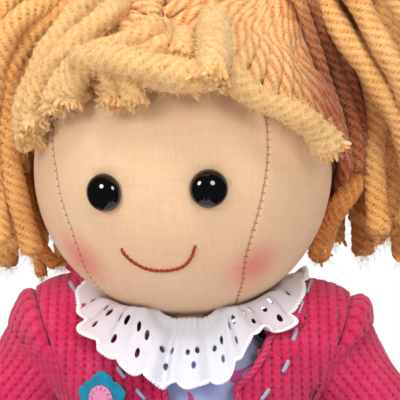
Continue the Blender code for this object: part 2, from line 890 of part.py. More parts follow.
def make_leg(side, sign, lap):
    pivot = empty(f"leg_{side}_pivot", (sign * hip_across, 0, 0), (-90, 0, 0), lap)
    rings = [(-d, w, h) for d, w, h in leg_rings]
    cover = oval_loft(f"leg_cover_{side}", rings, skin, pivot, 14, ends=(False, True))
    thicken(cover, cloth)
    core = cloth + gap
    inner = [(z, w - core, h - core * math.sqrt(2)) for z, w, h in rings]
    inner[0] = (inner[0][0] - gap, inner[0][1], inner[0][2])
    inner[-1] = (inner[-1][0] + core, inner[-1][1], inner[-1][2])
    oval_loft(f"leg_filling_{side}", inner, stuffing, pivot, 14)

    stretch = [(-d, w + gap, h + gap) for d, w, h in leg_rings]
    low, high = -bloomer_start - bloomer_length, -bloomer_start
    hose = [ring_between(stretch, high)] + [r for r in stretch if low < r[0] < high] + [ring_between(stretch, low)]
    bloomer = oval_loft(f"bloomer_leg_{side}", hose, lawn, pivot, 14, ends=(False, False))
    thicken(bloomer, dress_cloth, 1.0)
    make_shoe(side, sign, pivot)


def make_shoe(side, sign, pivot):
    """Strap shoe: flat sole across the end of the leg, domed upper with the leg's bore."""
    middle = (sole_heel - sole_toe) / 2
    half_length = (sole_heel + sole_toe) / 2
    outline = []
    for i in range(24):
        turn = 2 * math.pi * i / 24
        radius = 1 / math.hypot(math.cos(turn) / sole_half_width, math.sin(turn) / half_length)
        outline.append(radius)
    sole = flat_piece(f"shoe_sole_{side}", outline, sole_thickness, sole_brown, pivot, 0.0)
    sole.location = (0, middle, -sole_distance - sole_thickness / 2)

    shape = bmesh.new()
    bmesh.ops.create_uvsphere(shape, u_segments=14, v_segments=10, radius=1.0)
    bmesh.ops.scale(shape, vec=(sole_half_width - gap, half_length - gap, shoe_depth), verts=shape.verts)
    bmesh.ops.bisect_plane(
        shape,
        geom=shape.verts[:] + shape.edges[:] + shape.faces[:],
        plane_co=(0, 0, 0),
        plane_no=(0, 0, -1),
        clear_outer=True,
    )
    rim = [edge for edge in shape.edges if edge.is_boundary]
    bmesh.ops.contextual_create(shape, geom=rim)
    bmesh.ops.recalc_face_normals(shape, faces=shape.faces)
    upper = placed(f"shoe_upper_{side}", from_bmesh(f"shoe_upper_{side}", shape), shoe_pink, pivot)
    upper.location = (0, middle, -sole_distance + gap)
    leg_end = leg_rings[-1]
    stretch = [(-d, w + gap, h + gap) for d, w, h in leg_rings[-3:]]
    stretch[-1] = (-leg_end[0] - gap, leg_end[1] + gap, leg_end[2] + gap)
    bore = oval_loft(f"leg_bore_{side}", stretch, None, pivot, 14)
    doll.objects.unlink(bore)
    cutters.objects.link(bore)
    boolean(upper, as_cutter(bore))

    # Strap round the ankle and its button on the outer side
    low = -sole_distance + shoe_depth + 2 * gap
    top = low + strap_width
    ankle = ring_between([(-d, w, h) for d, w, h in leg_rings], top)
    inner = ankle[1] + gap
    outer = inner + strap_wall
    strap = oval_band(f"shoe_strap_{side}", top, low, inner, strap_wall, pivot)
    strap.data.materials.append(shoe_pink)
    seat = empty(f"button_{side}_axis", (sign * (outer + gap), 0, (top + low) / 2), (0, sign * 90, 0), pivot)
    knob = [(button_radius * across, button_height * up) for across, up in button_shares]
    turned(f"shoe_button_{side}", knob, washer_white, seat, 12)


def oval_band(name, top, low, inner, wall, parent):
    """A flat band that follows the oval of the leg."""
    band = oval_loft(name, [(top, inner, inner), (low, inner, inner)], None, parent, 14, ends=(False, False))
    return thicken(band, wall, 1.0)


def make_lap():
    lap = empty("lap_pivot", (0, hip_forward, hip_height))
    strip = rod("hip_strip", strip_radius, 2 * strip_half_length, (0, 0, 0), lap, lawn, sides=12)
    strip.rotation_euler = (0, math.pi / 2, 0)
    for side, sign in both_sides:
        make_leg(side, sign, lap)
    make_skirt(lap)


def make_skirt(lap):
    """Gathered skirt: from the waist out over the lap in front and down to the floor elsewhere."""
    waist = torso_width(waist_height) + gap + dress_cloth + gap
    waist_depth = torso_width(waist_height) * torso_depth_share + gap + dress_cloth + gap
    around, down = 4 * skirt_folds, 4
    shape = bmesh.new()
    rows = []
    for j in range(down + 1):
        t = j / down
        spread = math.sin(math.pi / 2 * t)
        row = []
        for i in range(around):
            turn = 2 * math.pi * i / around
            ease = spread * (1 + skirt_fold_share * math.cos(skirt_folds * turn) * t)
            top_x, top_y = oval_point(turn, waist, waist_depth)
            facing = math.cos(turn)
            reach = -skirt_front if facing > 0 else skirt_back
            end_x, end_y = oval_point(turn, skirt_half_width, reach)
            x = top_x + (end_x - top_x) * ease
            y = top_y + (end_y - top_y) * ease
            lap_share = smoothstep(lap_facing_start, lap_facing_end, facing)
            lap_share *= 1 - smoothstep(lap_half_width, skirt_half_width, abs(x))
            lap_share *= smoothstep(skirt_back / 2, hip_forward, y)
            end_z = skirt_floor_gap + (skirt_lap_height - skirt_floor_gap) * lap_share
            z = waist_height + (end_z - waist_height) * t ** (1.0 + skirt_flare_power * (1 - lap_share))
            z += skirt_fold_rise * t * lap_share * math.cos(skirt_folds * turn)
            row.append(shape.verts.new((x, y - hip_forward, z - hip_height)))
        rows.append(row)
    for near, far in zip(rows, rows[1:]):
        for i in range(around):
            k = (i + 1) % around
            shape.faces.new((near[i], far[i], far[k], near[k]))
    skirt = placed("skirt", from_bmesh("skirt", shape), print_cloth, lap)
    thicken(skirt, dress_cloth, 1.0)


hip_depth = torso_width(hip_height) * torso_depth_share
hip_forward = -(hip_depth + gap + dress_cloth + facet_allowance + strip_radius)

clear_scene()
doll = new_collection("rag_doll")
cutters = new_collection("cutters")

skin = material("peach_cotton", (0.90, 0.68, 0.52), 0.9)
stuffing = material("white_stuffing", (0.92, 0.91, 0.88), 1.0)
wool = material("blond_wool", (0.93, 0.66, 0.36), 0.95)
eye_black = material("black_eye", (0.02, 0.02, 0.02), 0.08)
washer_white = material("white_plastic", (0.85, 0.85, 0.83), 0.4)
smile_red = material("red_thread", (0.55, 0.13, 0.08), 0.8)
tie_blue = material("blue_elastic", (0.45, 0.55, 0.75), 0.7)
print_cloth = material("lilac_print", (0.55, 0.60, 0.80), 0.85)
lawn = material("white_lawn", (0.90, 0.90, 0.90), 0.9)
pink_knit = material("pink_knit", (0.80, 0.08, 0.25), 0.95)
white_lace = material("white_lace", (0.92, 0.92, 0.93), 0.85)
teal_felt = material("teal_felt", (0.03, 0.35, 0.42), 0.95)
shoe_pink = material("pink_felt", (0.75, 0.15, 0.30), 0.8)
sole_brown = material("brown_sole", (0.30, 0.18, 0.10), 0.7)

neck_axis = empty("neck_pivot", (0, 0, neck_pivot_height), (0, head_lean_deg, 0))
head_axis = empty("head_axis", (0, 0, neck_length), (0, 0, head_yaw_deg), neck_axis)
make_head(head_axis)
make_hair(head_axis)
make_neck(neck_axis)
make_torso()
for side, sign in both_sides:
    make_arm(side, sign)
make_lap()
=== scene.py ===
# Rag doll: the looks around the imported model. Metres, +Z up, the doll faces -Y.
import json

import bpy
import numpy as np
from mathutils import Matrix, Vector

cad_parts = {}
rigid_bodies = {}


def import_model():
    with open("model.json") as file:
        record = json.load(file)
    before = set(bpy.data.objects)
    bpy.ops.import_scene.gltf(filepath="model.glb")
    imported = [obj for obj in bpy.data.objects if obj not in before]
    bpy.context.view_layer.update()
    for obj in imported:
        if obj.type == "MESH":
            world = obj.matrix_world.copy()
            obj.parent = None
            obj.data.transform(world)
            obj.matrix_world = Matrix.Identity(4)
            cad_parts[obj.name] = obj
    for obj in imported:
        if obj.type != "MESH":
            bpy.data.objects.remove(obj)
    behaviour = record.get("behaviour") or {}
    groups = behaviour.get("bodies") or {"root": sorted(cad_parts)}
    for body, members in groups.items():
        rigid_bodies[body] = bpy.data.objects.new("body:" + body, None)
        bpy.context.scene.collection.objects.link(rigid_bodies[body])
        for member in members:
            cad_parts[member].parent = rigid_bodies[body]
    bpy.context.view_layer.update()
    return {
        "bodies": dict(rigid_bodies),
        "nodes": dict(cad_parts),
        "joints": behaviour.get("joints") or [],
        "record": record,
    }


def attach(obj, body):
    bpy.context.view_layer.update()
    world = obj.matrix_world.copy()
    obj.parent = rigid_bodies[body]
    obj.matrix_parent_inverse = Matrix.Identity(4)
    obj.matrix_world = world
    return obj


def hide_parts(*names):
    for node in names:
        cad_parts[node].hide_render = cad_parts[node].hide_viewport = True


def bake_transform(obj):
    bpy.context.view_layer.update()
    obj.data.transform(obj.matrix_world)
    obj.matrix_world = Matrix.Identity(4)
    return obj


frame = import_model()
sides = (("left", -1), ("right", 1))

studio = {
    "cameraPlace": (0.0046, -0.70, 0.1371),
    "lens": 156.0,
    "sensor": 36.0,
    "pictureSize": 400,
    # Each lamp's place, power and width
    "lamps": (
        ((-0.62, -0.78, 0.47), 3.4, 0.34),
        ((0.44, -0.92, 0.45), 2.5, 0.36),
        ((-0.02, -0.46, 0.88), 4.4, 0.36),
    ),
    "lampAim": (0, 0, 0.13),
    "glossyLamps": 2,
    "roomLight": 0.36,
    "roomGlossShare": 0.1,
    "floorReach": 3.0,
    "floorColour": (246, 246, 247),
    "shadowReach": (0.26, 0.42),
}


def srgb(red, green, blue):
    # A colour of 0 to 255 as the linear one that a shader takes
    share = np.array((red, green, blue)) / 255
    linear = np.where(share <= 0.04045, share / 12.92, ((share + 0.055) / 1.055) ** 2.4)
    return (*linear.tolist(), 1.0)


class Wire:
    # Shader wiring: sums and products of wires add Math nodes
    def __init__(self, tree, socket=None):
        self.tree = tree
        self.socket = socket

    def add(self, kind, settings=None, sockets=None, out=0):
        # Any node: its settings first, then values or wires for its sockets
        node = self.tree.nodes.new(kind)
        for name, value in (settings or {}).items():
            setattr(node, name, value)
        for name, value in (sockets or {}).items():
            if isinstance(value, Wire):
                self.tree.links.new(value.socket, node.inputs[name])
            else:
                node.inputs[name].default_value = value
        return Wire(self.tree, node.outputs[out])

    def math(self, operation, *values):
        return self.add("ShaderNodeMath", {"operation": operation}, dict(enumerate(values)))

    def vector(self, operation, *values, out=0):
        return self.add("ShaderNodeVectorMath", {"operation": operation}, dict(enumerate(values)), out)

    def __add__(self, other):
        return self.math("ADD", self, other)

    def __radd__(self, other):
        return self.math("ADD", other, self)

    def __sub__(self, other):
        return self.math("SUBTRACT", self, other)

    def __rsub__(self, other):
        return self.math("SUBTRACT", other, self)

    def __mul__(self, other):
        return self.math("MULTIPLY", self, other)

    def __rmul__(self, other):
        return self.math("MULTIPLY", other, self)

    def __truediv__(self, other):
        return self.math("DIVIDE", self, other)

    def step(self, low, high):
        # 0 below the low value, 1 above the high one, smooth between
        values = {"Value": self, 1: low, 2: high, 3: 0.0, 4: 1.0}
        return self.add("ShaderNodeMapRange", {"interpolation_type": "SMOOTHSTEP"}, values)

    def sine(self):
        return self.math("SINE", self)

    def size(self):
        return self.math("ABSOLUTE", self)

    def fract(self):
        return self.math("FRACT", self)

    def root(self):
        return self.math("SQRT", self)

    def power(self, exponent):
        return self.math("POWER", self, exponent)

    def mix(self, share, first, second):
        return self.add("ShaderNodeMix", {"data_type": "RGBA"}, {0: share, 6: first, 7: second}, 2)

    def uv(self, name):
        return self.add("ShaderNodeUVMap", {"uv_map": name})

    def mark(self, name):
        return self.add("ShaderNodeAttribute", {"attribute_name": name}, out=2)

    def place(self):
        return self.add("ShaderNodeTexCoord", out=3)

    def parts(self):
        node = self.tree.nodes.new("ShaderNodeSeparateXYZ")
        self.tree.links.new(self.socket, node.inputs[0])
        return [Wire(self.tree, output) for output in node.outputs]

    def joined(self, x, y, z=0.0):
        return self.add("ShaderNodeCombineXYZ", sockets={0: x, 1: y, 2: z})

    def noise(self, where, scale, detail=2.0, rough=0.5):
        sockets = {"Vector": where, "Scale": scale, "Detail": detail, "Roughness": rough}
        return self.add("ShaderNodeTexNoise", sockets=sockets)


def makeMaterial(name, pattern, roughness, specular, bump=0.0, **more):
    # pattern(wire) gives what feeds the shader's sockets, and "height" from 0 to 1, bump metres deep. Roughness None
    # is left to the pattern; more names other sockets, a Sheen_Weight for instance.
    material = bpy.data.materials.new(name)
    material.use_nodes = True
    tree = material.node_tree
    shader = tree.nodes["Principled BSDF"]
    constants = {"Roughness": roughness, "Specular_IOR_Level": specular, **more}
    for socket, value in constants.items():
        if value is not None:
            shader.inputs[socket.replace("_", " ")].default_value = value
    wire = Wire(tree)
    for socket, value in pattern(wire).items():
        if socket == "height":
            value = wire.add("ShaderNodeBump", {}, {"Strength": 1.0, "Distance": bump, "Height": value})
            socket = "Normal"
        tree.links.new(value.socket, shader.inputs[socket])
    return material


def makePiece(name, parts, material, body=None, replaced=(), smooth=True):
    # Joins grids of points (rows, columns, 3) into one mesh. A part may close round its columns and at its two ends,
    # and carries UV grids with one more column than it has where it closes, and marks of one value per point. In
    # pairs, only every second strip between columns has faces.
    points, quads, triangles = [], [], []
    uvNames = sorted({key for part in parts for key in part.get("uv", {})})
    markNames = sorted({key for part in parts for key in part.get("marks", {})})
    quadUvs = {key: [] for key in uvNames}
    triangleUvs = {key: [] for key in uvNames}
    marks = {key: [] for key in markNames}
    base = 0
    for part in parts:
        grid = np.asarray(part["grid"], float)
        rows, columns = grid.shape[:2]
        around = part.get("around", False)
        points.append(grid.reshape(-1, 3))
        index = base + np.arange(rows * columns).reshape(rows, columns)
        wide = np.concatenate([index, index[:, :1]], 1) if around else index
        step = 2 if part.get("pairs") else 1
        corners = [corner[:, ::step] for corner in (wide[:-1, :-1], wide[1:, :-1], wide[1:, 1:], wide[:-1, 1:])]
        order = (0, 1, 2, 3) if part.get("flip") else (0, 3, 2, 1)
        quads.append(np.stack([corners[k] for k in order], -1).reshape(-1, 4))
        for key in uvNames:
            uv = np.asarray(part.get("uv", {}).get(key, np.zeros((*wide.shape, 2))), float)
            uvCorners = [corner[:, ::step] for corner in (uv[:-1, :-1], uv[1:, :-1], uv[1:, 1:], uv[:-1, 1:])]
            quadUvs[key].append(np.stack([uvCorners[k] for k in order], 2).reshape(-1, 4, 2))
        own = {key: np.asarray(part.get("marks", {}).get(key, np.ones((rows, columns))), float) for key in markNames}
        for key in markNames:
            marks[key].append(own[key].ravel())
        base += rows * columns
        for end, closed in zip((0, -1), part.get("ends", (False, False))):
            if not closed:
                continue
            points.append(grid[end].mean(0)[None])
            ring = wide[end]
            middle = np.full(len(ring) - 1, base)
            inward = (end == 0) == bool(part.get("flip"))
            pair = (slice(None, -1), slice(1, None)) if inward else (slice(1, None), slice(None, -1))
            triangles.append(np.stack([middle, ring[pair[0]], ring[pair[1]]], -1))
            for key in uvNames:
                uv = np.asarray(part.get("uv", {}).get(key, np.zeros((*wide.shape, 2))), float)[end]
                centre = np.broadcast_to(uv.mean(0), uv[:-1].shape)
                triangleUvs[key].append(np.stack([centre, uv[pair[0]], uv[pair[1]]], 1))
            for key in markNames:
                marks[key].append(own[key][end].mean(keepdims=True))
            base += 1
    mesh = bpy.data.meshes.new(name)
    points = np.concatenate(points)
    quads = np.concatenate(quads)
    triangles = np.concatenate(triangles) if triangles else np.zeros((0, 3), int)
    loops = np.concatenate([quads.ravel(), triangles.ravel()])
    starts = np.concatenate([np.arange(len(quads)) * 4, len(quads) * 4 + np.arange(len(triangles)) * 3])
    mesh.vertices.add(len(points))
    mesh.vertices.foreach_set("co", points.ravel())
    mesh.loops.add(len(loops))
    mesh.loops.foreach_set("vertex_index", loops.astype(np.int32))
    mesh.polygons.add(len(starts))
    mesh.polygons.foreach_set("loop_start", starts.astype(np.int32))
    mesh.update(calc_edges=True)
    mesh.validate()
    mesh.polygons.foreach_set("use_smooth", np.full(len(mesh.polygons), smooth))
    for key in uvNames:
        layer = mesh.uv_layers.new(name=key)
        joined = [np.concatenate(quadUvs[key]).reshape(-1, 2)]
        if triangleUvs[key]:
            joined.append(np.concatenate(triangleUvs[key]).reshape(-1, 2))
        layer.data.foreach_set("uv", np.concatenate(joined).ravel())
    for key in markNames:
        attribute = mesh.attributes.new(key, "FLOAT", "POINT")
        attribute.data.foreach_set("value", np.concatenate(marks[key]).astype(np.float32))
    piece = bpy.data.objects.new(name, mesh)
    bpy.context.scene.collection.objects.link(piece)
    mesh.materials.append(material)
    if body:
        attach(piece, body)
    if replaced:
        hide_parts(*replaced)
    return piece


def turnsOf(count):
    # Even turns of a closed ring, as one row
    return np.linspace(0, 2 * np.pi, count + 1)[None, :-1]


def cross(grid, around=True):
    # The surface's own normals, of length 1, towards one of its sides
    if around:
        wide = np.concatenate([grid[:, -1:], grid, grid[:, :1]], 1)
        columns = np.gradient(wide, axis=1)[:, 1:-1]
    else:
        columns = np.gradient(grid, axis=1)
    return unit(np.cross(columns, np.gradient(grid, axis=0)))


def tube(grid, outward, rows=slice(None), **more):
    # A part closed round its columns whose faces point along outward, judged on some of its rows
    flip = bool((cross(grid)[rows] * outward).sum() < 0)
    return {"grid": grid, "around": True, "flip": flip, **more}


def addWall(piece, thickness):
    # Cloth has a thickness, grown inwards
    wall = piece.modifiers.new("wall", "SOLIDIFY")
    wall.thickness = thickness
    wall.offset = -1.0


def addWeld(piece, distance=0.00001):
    weld = piece.modifiers.new("weld", "WELD")
    weld.merge_threshold = distance


def throughKnots(knots, spacing):
    # Points at even distances along the Catmull-Rom curve through the knots, and their distances along it
    knots = np.asarray(knots, float)
    ends = np.concatenate([[2 * knots[0] - knots[1]], knots, [2 * knots[-1] - knots[-2]]])
    place = np.linspace(0, len(knots) - 1, 40 * len(knots))
    k = np.minimum(place.astype(int), len(knots) - 2)
    t = (place - k)[:, None]
    a, b, c, d = ends[k], ends[k + 1], ends[k + 2], ends[k + 3]
    line = 0.5 * (2 * b + (c - a) * t + (2 * a - 5 * b + 4 * c - d) * t**2 + (3 * b - a - 3 * c + d) * t**3)
    length = np.concatenate([[0], np.cumsum(np.linalg.norm(np.diff(line, axis=0), axis=1))])
    even = np.linspace(0, length[-1], max(int(length[-1] / spacing), 3) + 1)
    return np.stack([np.interp(even, length, line[:, axis]) for axis in range(3)], 1), even


def unit(vectors):
    return vectors / np.maximum(np.linalg.norm(vectors, axis=-1, keepdims=True), 1e-12)


def blendStep(low, high, values):
    t = np.clip((values - low) / (high - low), 0, 1)
    return t * t * (3 - 2 * t)


def yarn(knots, outward, radius, look, phase=0.0, cutEnds=(False, True), thin=None, paintedLight=1.0):
    # Plied yarn along the knots: at each point a ring square to the path, whose radius is that of a bundle of round
    # plies, turned by a full turn per pitch. outward(line) gives the direction that angle 0 faces.
    line, along = throughKnots(knots, look["spacing"])
    tangent = unit(np.gradient(line, axis=0))
    out = outward(line)
    out = unit(out - tangent * (out * tangent).sum(1, keepdims=True))
    side = np.cross(tangent, out)
    count, plies = look["around"], look["plies"]
    angle = np.linspace(0, 2 * np.pi, count + 1)
    turn = 2 * np.pi * along / look["pitch"] + phase
    local = np.mod(angle[None, :-1] - turn[:, None], 2 * np.pi / plies) - np.pi / plies
    offset = 1 / (1 + np.sin(np.pi / plies))
    ply = 1 - offset
    shape = offset * np.cos(local) + np.sqrt(np.maximum(ply**2 - (offset * np.sin(local)) ** 2, 0))
    lowest = offset * np.cos(np.pi / plies)
    ridge = (shape - lowest) / (1 - lowest)
    sway = 1 + look["sway"] * np.sin(along * 190 + phase * 3) * np.sin(along * 71 + phase)
    size = radius * sway if thin is None else radius * sway * thin(along / along[-1])
    for end, cut in zip((along, along[-1] - along), cutEnds):
        if cut:
            size = size * np.sqrt(1 - 0.55 * (1 - np.clip(end / (0.6 * radius), 0, 1)) ** 2)
    lumps = np.random.default_rng(len(line)).normal(0, look.get("rough", 0.0), ridge.shape)
    lumps = (lumps + np.roll(lumps, 1, 0) + np.roll(lumps, 1, 1)) / 1.7
    section = size[:, None] * (1 - look["groove"] * (1 - ridge) + lumps)
    across = np.cos(angle[:-1])[None, :, None] * out[:, None] * look.get("flat", 1.0)
    across = across + np.sin(angle[:-1])[None, :, None] * side[:, None]
    grid = line[:, None] + section[..., None] * across
    uv = np.stack(np.broadcast_arrays(along[:, None], (angle[None] - turn[:, None]) * radius), -1)
    # The ridge mark goes to the colour: grooves between plies take painted shade, and the last argument, a share of
    # light below 1, darkens the whole strand as painted shade
    return {"grid": grid, "around": True, "ends": (True, True), "uv": {"yarn": uv}, "marks": {"ridge": (ridge + lumps) * paintedLight}}


def fibres(random, centre, way, radius, count, length, thick=0.00011):
    # Loose fibre ends: bent three-sided needles that start within the radius and lean about the way
    parts = []
    way = unit(np.asarray(way, float))
    for _ in range(count):
        lean = unit(way + random.normal(0, 0.55, 3))
        start = centre + unit(random.normal(0, 1, 3)) * radius * random.uniform(0.1, 1.0)
        bend = random.normal(0, 0.35, 3)
        t = np.linspace(0, 1, 4)[:, None]
        line = start + length * random.uniform(0.5, 1.3) * (lean * t + bend * t**2)
        across = unit(np.cross(lean, (0.31, 0.52, 0.79)))
        other = np.cross(lean, across)
        angle = np.arange(3) * 2 * np.pi / 3
        ring = np.cos(angle)[:, None] * across + np.sin(angle)[:, None] * other
        grid = line[:, None] + ring[None] * (thick * (1 - 0.75 * t))[:, None]
        uv = np.zeros((4, 4, 2))
        parts.append({"grid": grid, "around": True, "ends": (True, True), "uv": {"yarn": uv}})
    return parts


def tuft(random, centre, way, radius, count=52):
    # A cut end that has come untwisted: short soft strands that start in the end's disc, at golden-angle turns and
    # radii of sqrt((k + 1/2) / count), spread out and bend by t squared. Each is a blunt tube, rows spaced by a sine.
    parts = []
    across = unit(np.cross(way, (0.31, 0.52, 0.79)))
    other = np.cross(way, across)
    t = np.sin(np.linspace(0, np.pi / 2, 7))[:, None]
    angle = np.arange(7) * 2 * np.pi / 7
    for k in range(count):
        turn, out = k * 2.399963, radius * 0.86 * np.sqrt((k + 0.5) / count)
        side = np.cos(turn) * across + np.sin(turn) * other
        lean = unit(way + side * (0.10 + 0.50 * out / radius) + random.normal(0, 0.14, 3))
        bend = random.normal(0, 0.0008, 3)
        length = radius * random.uniform(0.35, 0.80)
        line = centre + side * out + lean * length * t + bend * t**2
        size = radius * random.uniform(0.13, 0.19) * np.sqrt(np.clip(1.04 - t**8, 0.04, 1))
        first = unit(np.cross(lean, (0.2, 0.7, 0.6)))
        second = np.cross(lean, first)
        ring = np.cos(angle)[:, None] * first + np.sin(angle)[:, None] * second
        grid = line[:, None] + ring[None] * (size * (1 + random.uniform(-0.18, 0.18, (7, 7))))[..., None]
        uv = np.stack(np.broadcast_arrays(t * length, np.arange(8)[None] * 0.0009), -1)
        marks = {"ridge": np.full((7, 7), random.uniform(0.35, 1.0))}
        parts.append({"grid": grid, "around": True, "ends": (True, True), "uv": {"yarn": uv}, "marks": marks})
    return parts


def fuzz(random, parts, count, length, half=0.00011):
    # Loose fibres over the yarn: thin blades from random places of its surface, out and along it, bent by t squared
    # and narrowing to their tips. The blades of one strand share a grid, two columns each.
    grids = [part["grid"] for part in parts if part["grid"].shape[1] > 8]
    sizes = np.array([len(grid) for grid in grids], float)
    picks = random.choice(len(grids), count, p=sizes / sizes.sum())
    blades = []
    for k, grid in enumerate(grids):
        many = int((picks == k).sum())
        row = random.integers(1, len(grid) - 1, many)
        column = random.integers(0, grid.shape[1], many)
        start = grid[row, column]
        out = unit(start - grid[row].mean(1))
        along = unit(grid[row + 1].mean(1) - grid[row - 1].mean(1))
        way = unit(out * 0.8 + along * random.normal(0, 0.8, (many, 1)) + random.normal(0, 0.4, (many, 3)))
        bend = random.normal(0, 0.5, (many, 3)) - 0.3 * out
        wide = unit(np.cross(way, random.normal(0, 1, (many, 3))))
        t = np.linspace(0, 1, 3)[:, None, None]
        reach = length * random.uniform(0.4, 1.4, (many, 1))
        line = start - out * 0.0002 + reach * (way * t + bend * t**2)
        spread = wide * half * (1 - 0.75 * t)
        grid = np.stack([line - spread, line + spread], 2).reshape(3, -1, 3)
        blades.append({"grid": grid, "pairs": True, "uv": {"yarn": np.zeros((3, 2 * many, 2))}})
    return blades


def makeStudio():
    # Camera, lamps and floor
    print("studio")
    scene = bpy.context.scene
    scene.view_settings.view_transform = "Standard"
    camera = bpy.data.cameras.new("camera")
    camera.lens = studio["lens"]
    camera.sensor_width = studio["sensor"]
    camera.sensor_fit = "HORIZONTAL"
    viewer = bpy.data.objects.new("camera", camera)
    viewer.location = studio["cameraPlace"]
    viewer.rotation_euler = (np.pi / 2, 0, 0)
    scene.collection.objects.link(viewer)
    scene.camera = viewer
    for i, (place, power, size) in enumerate(studio["lamps"]):
        lamp = bpy.data.lights.new(f"lamp{i}", "AREA")
        lamp.energy = power
        lamp.shape = "DISK"
        lamp.size = size
        holder = bpy.data.objects.new(f"lamp{i}", lamp)
        holder.visible_glossy = i < studio["glossyLamps"]
        holder.location = place
        holder.rotation_euler = (Vector(studio["lampAim"]) - Vector(place)).to_track_quat("-Z", "Y").to_euler()
        holder.visible_camera = False
        scene.collection.objects.link(holder)
    world = bpy.data.worlds.new("room")
    world.use_nodes = True
    scene.world = world
    tree = world.node_tree
    wire = Wire(tree)
    seen = wire.add("ShaderNodeLightPath", out=0)
    passing = wire.add("ShaderNodeLightPath", out=6)
    direct = seen.math("MAXIMUM", seen, passing)
    back = tree.nodes["Background"]
    back.inputs["Color"].default_value = (1, 1, 1, 1)
    glossy = wire.add("ShaderNodeLightPath", out=3)
    strength = direct * (1 - studio["roomLight"]) + studio["roomLight"]
    strength = strength * (1 - glossy * (1 - studio["roomGlossShare"]))
    tree.links.new(strength.socket, back.inputs["Strength"])

    # The floor takes shadows near the doll and is plain white to the eye further out
    mesh = bpy.data.meshes.new("floor")
    reach = studio["floorReach"]
    corners = [(-reach, -reach, 0), (reach, -reach, 0), (reach, reach, 0), (-reach, reach, 0)]
    mesh.from_pydata(corners, [], [(0, 1, 2, 3)])
    floor = bpy.data.objects.new("floor", mesh)
    floor.visible_glossy = False
    scene.collection.objects.link(floor)
    paint = bpy.data.materials.new("floorWhite")
    paint.use_nodes = True
    tree = paint.node_tree
    wire = Wire(tree)
    shader = tree.nodes["Principled BSDF"]
    shader.inputs["Base Color"].default_value = srgb(*studio["floorColour"])
    shader.inputs["Roughness"].default_value = 0.9
    seen = wire.add("ShaderNodeLightPath", out=0)
    far = wire.place().vector("LENGTH", wire.place(), out=1).step(*studio["shadowReach"])
    glow = wire.add("ShaderNodeEmission", sockets={"Color": (1, 1, 1, 1), "Strength": 1.0})
    mixed = wire.add("ShaderNodeMixShader", sockets={0: seen * far, 1: Wire(tree, shader.outputs[0]), 2: glow})
    tree.links.new(mixed.socket, tree.nodes["Material Output"].inputs["Surface"])
    mesh.materials.append(paint)


def turnAbout(axis, degrees):
    c, s = np.cos(np.radians(degrees)), np.sin(np.radians(degrees))
    if axis == "y":
        return np.array(((c, 0, s), (0, 1, 0), (-s, 0, c)))
    return np.array(((c, -s, 0), (s, c, 0), (0, 0, 1)))


# The head is turned to one side on a leaning neck
headSize = {"radius": 0.0600, "yaw": -10.0, "lean": -2.1, "pivotHeight": 0.0880, "neckLength": 0.0620}
headTurn = turnAbout("y", headSize["lean"]) @ turnAbout("z", headSize["yaw"])
headCentre = np.array((0, 0, headSize["pivotHeight"])) + turnAbout("y", headSize["lean"]) @ (0, 0, headSize["neckLength"])


def fromHead(points):
    # Head places to world places
    return points @ headTurn.T + headCentre


def fromMiddle(line):
    return line - headCentre


def pictureRay(x, y):
    # The camera's ray through a point of the square picture, one metre deep
    half = studio["pictureSize"] / 2
    step = studio["sensor"] / studio["lens"] / studio["pictureSize"]
    x, y = np.asarray(x, float), np.asarray(y, float)
    return np.array(((x - half) * step, np.ones_like(x), (half - y) * step))


def onBallAt(x, y, radius):
    # Where the rays of picture points first meet a ball round the head's centre
    start = np.array(studio["cameraPlace"])
    ray = unit(pictureRay(x, y).T)
    offset = start - headCentre
    along = ray @ offset
    return start + ray * (-along - np.sqrt(along**2 - offset @ offset + radius**2))[..., None]


def weave(wire, uvName, thread):
    # Plain weave: a checker of rounded crossings, with slubs that run along each set of threads
    u, v = wire.uv(uvName).parts()[:2]
    x, y = u / thread, v / thread
    crossing = (x * np.pi).sine() * (y * np.pi).sine()
    slubs = wire.noise(wire.joined(x * 0.06, y * 1.1), 1.0) + wire.noise(wire.joined(x * 1.1, y * 0.06), 1.0)
    slubs = slubs + wire.noise(wire.joined(x * 0.03, y * 0.35), 1.0) + wire.noise(wire.joined(x * 0.35, y * 0.03), 1.0)
    return crossing * 0.5 + 0.5, slubs - 2.0


def clothFinish(name, colour, shade, thread=0.0005, bump=0.00012, uvName="cloth", sheen=0.15):
    # Woven cotton: its colour darkens between threads as painted shade, and changes a little from thread to thread
    def pattern(wire):
        height, slubs = weave(wire, uvName, thread)
        blotch = wire.noise(wire.place(), 60.0, 3.0)
        share = (height * 0.22 + slubs * 0.35 + blotch * 0.5 + 0.18).step(0.0, 1.0)
        return {"Base Color": wire.mix(share, srgb(*shade), srgb(*colour)), "height": height + slubs * 0.6}

    return makeMaterial(name, pattern, 0.88, 0.25, bump, Sheen_Weight=sheen)


headLook = {
    "light": (242, 206, 168),
    "shade": (224, 180, 140),
    "thread": 0.00052,
    "blush": (230, 108, 96),
    "blushPlaces": ((82, 259), (254, 267)),
    "blushReach": (0.0010, 0.0165),
    "seamColour": (150, 88, 60),
    "holeColour": (112, 58, 40),
    # Angles from the crown, and how far round the face's two seams lie there
    "seamPolar": (0, 75, 88, 112, 122, 130, 139, 149, 159, 168),
    "seamLeft": (45, 49, 44, 41, 43, 48, 54, 60, 68, 72),
    "seamRight": (45, 44.5, 43, 39, 38, 39, 43, 49, 64, 70),
    "stitch": 0.0029,
    "seamDepth": 0.00042,
    "pucker": 0.00012,
    "eyePinch": 0.0006,
    "seamSmooth": 13,
    "crownStart": 0.035,
    "neckStop": 0.215,
    "weld": 0.00002,
    "rows": 250,
    "columns": 64,
}


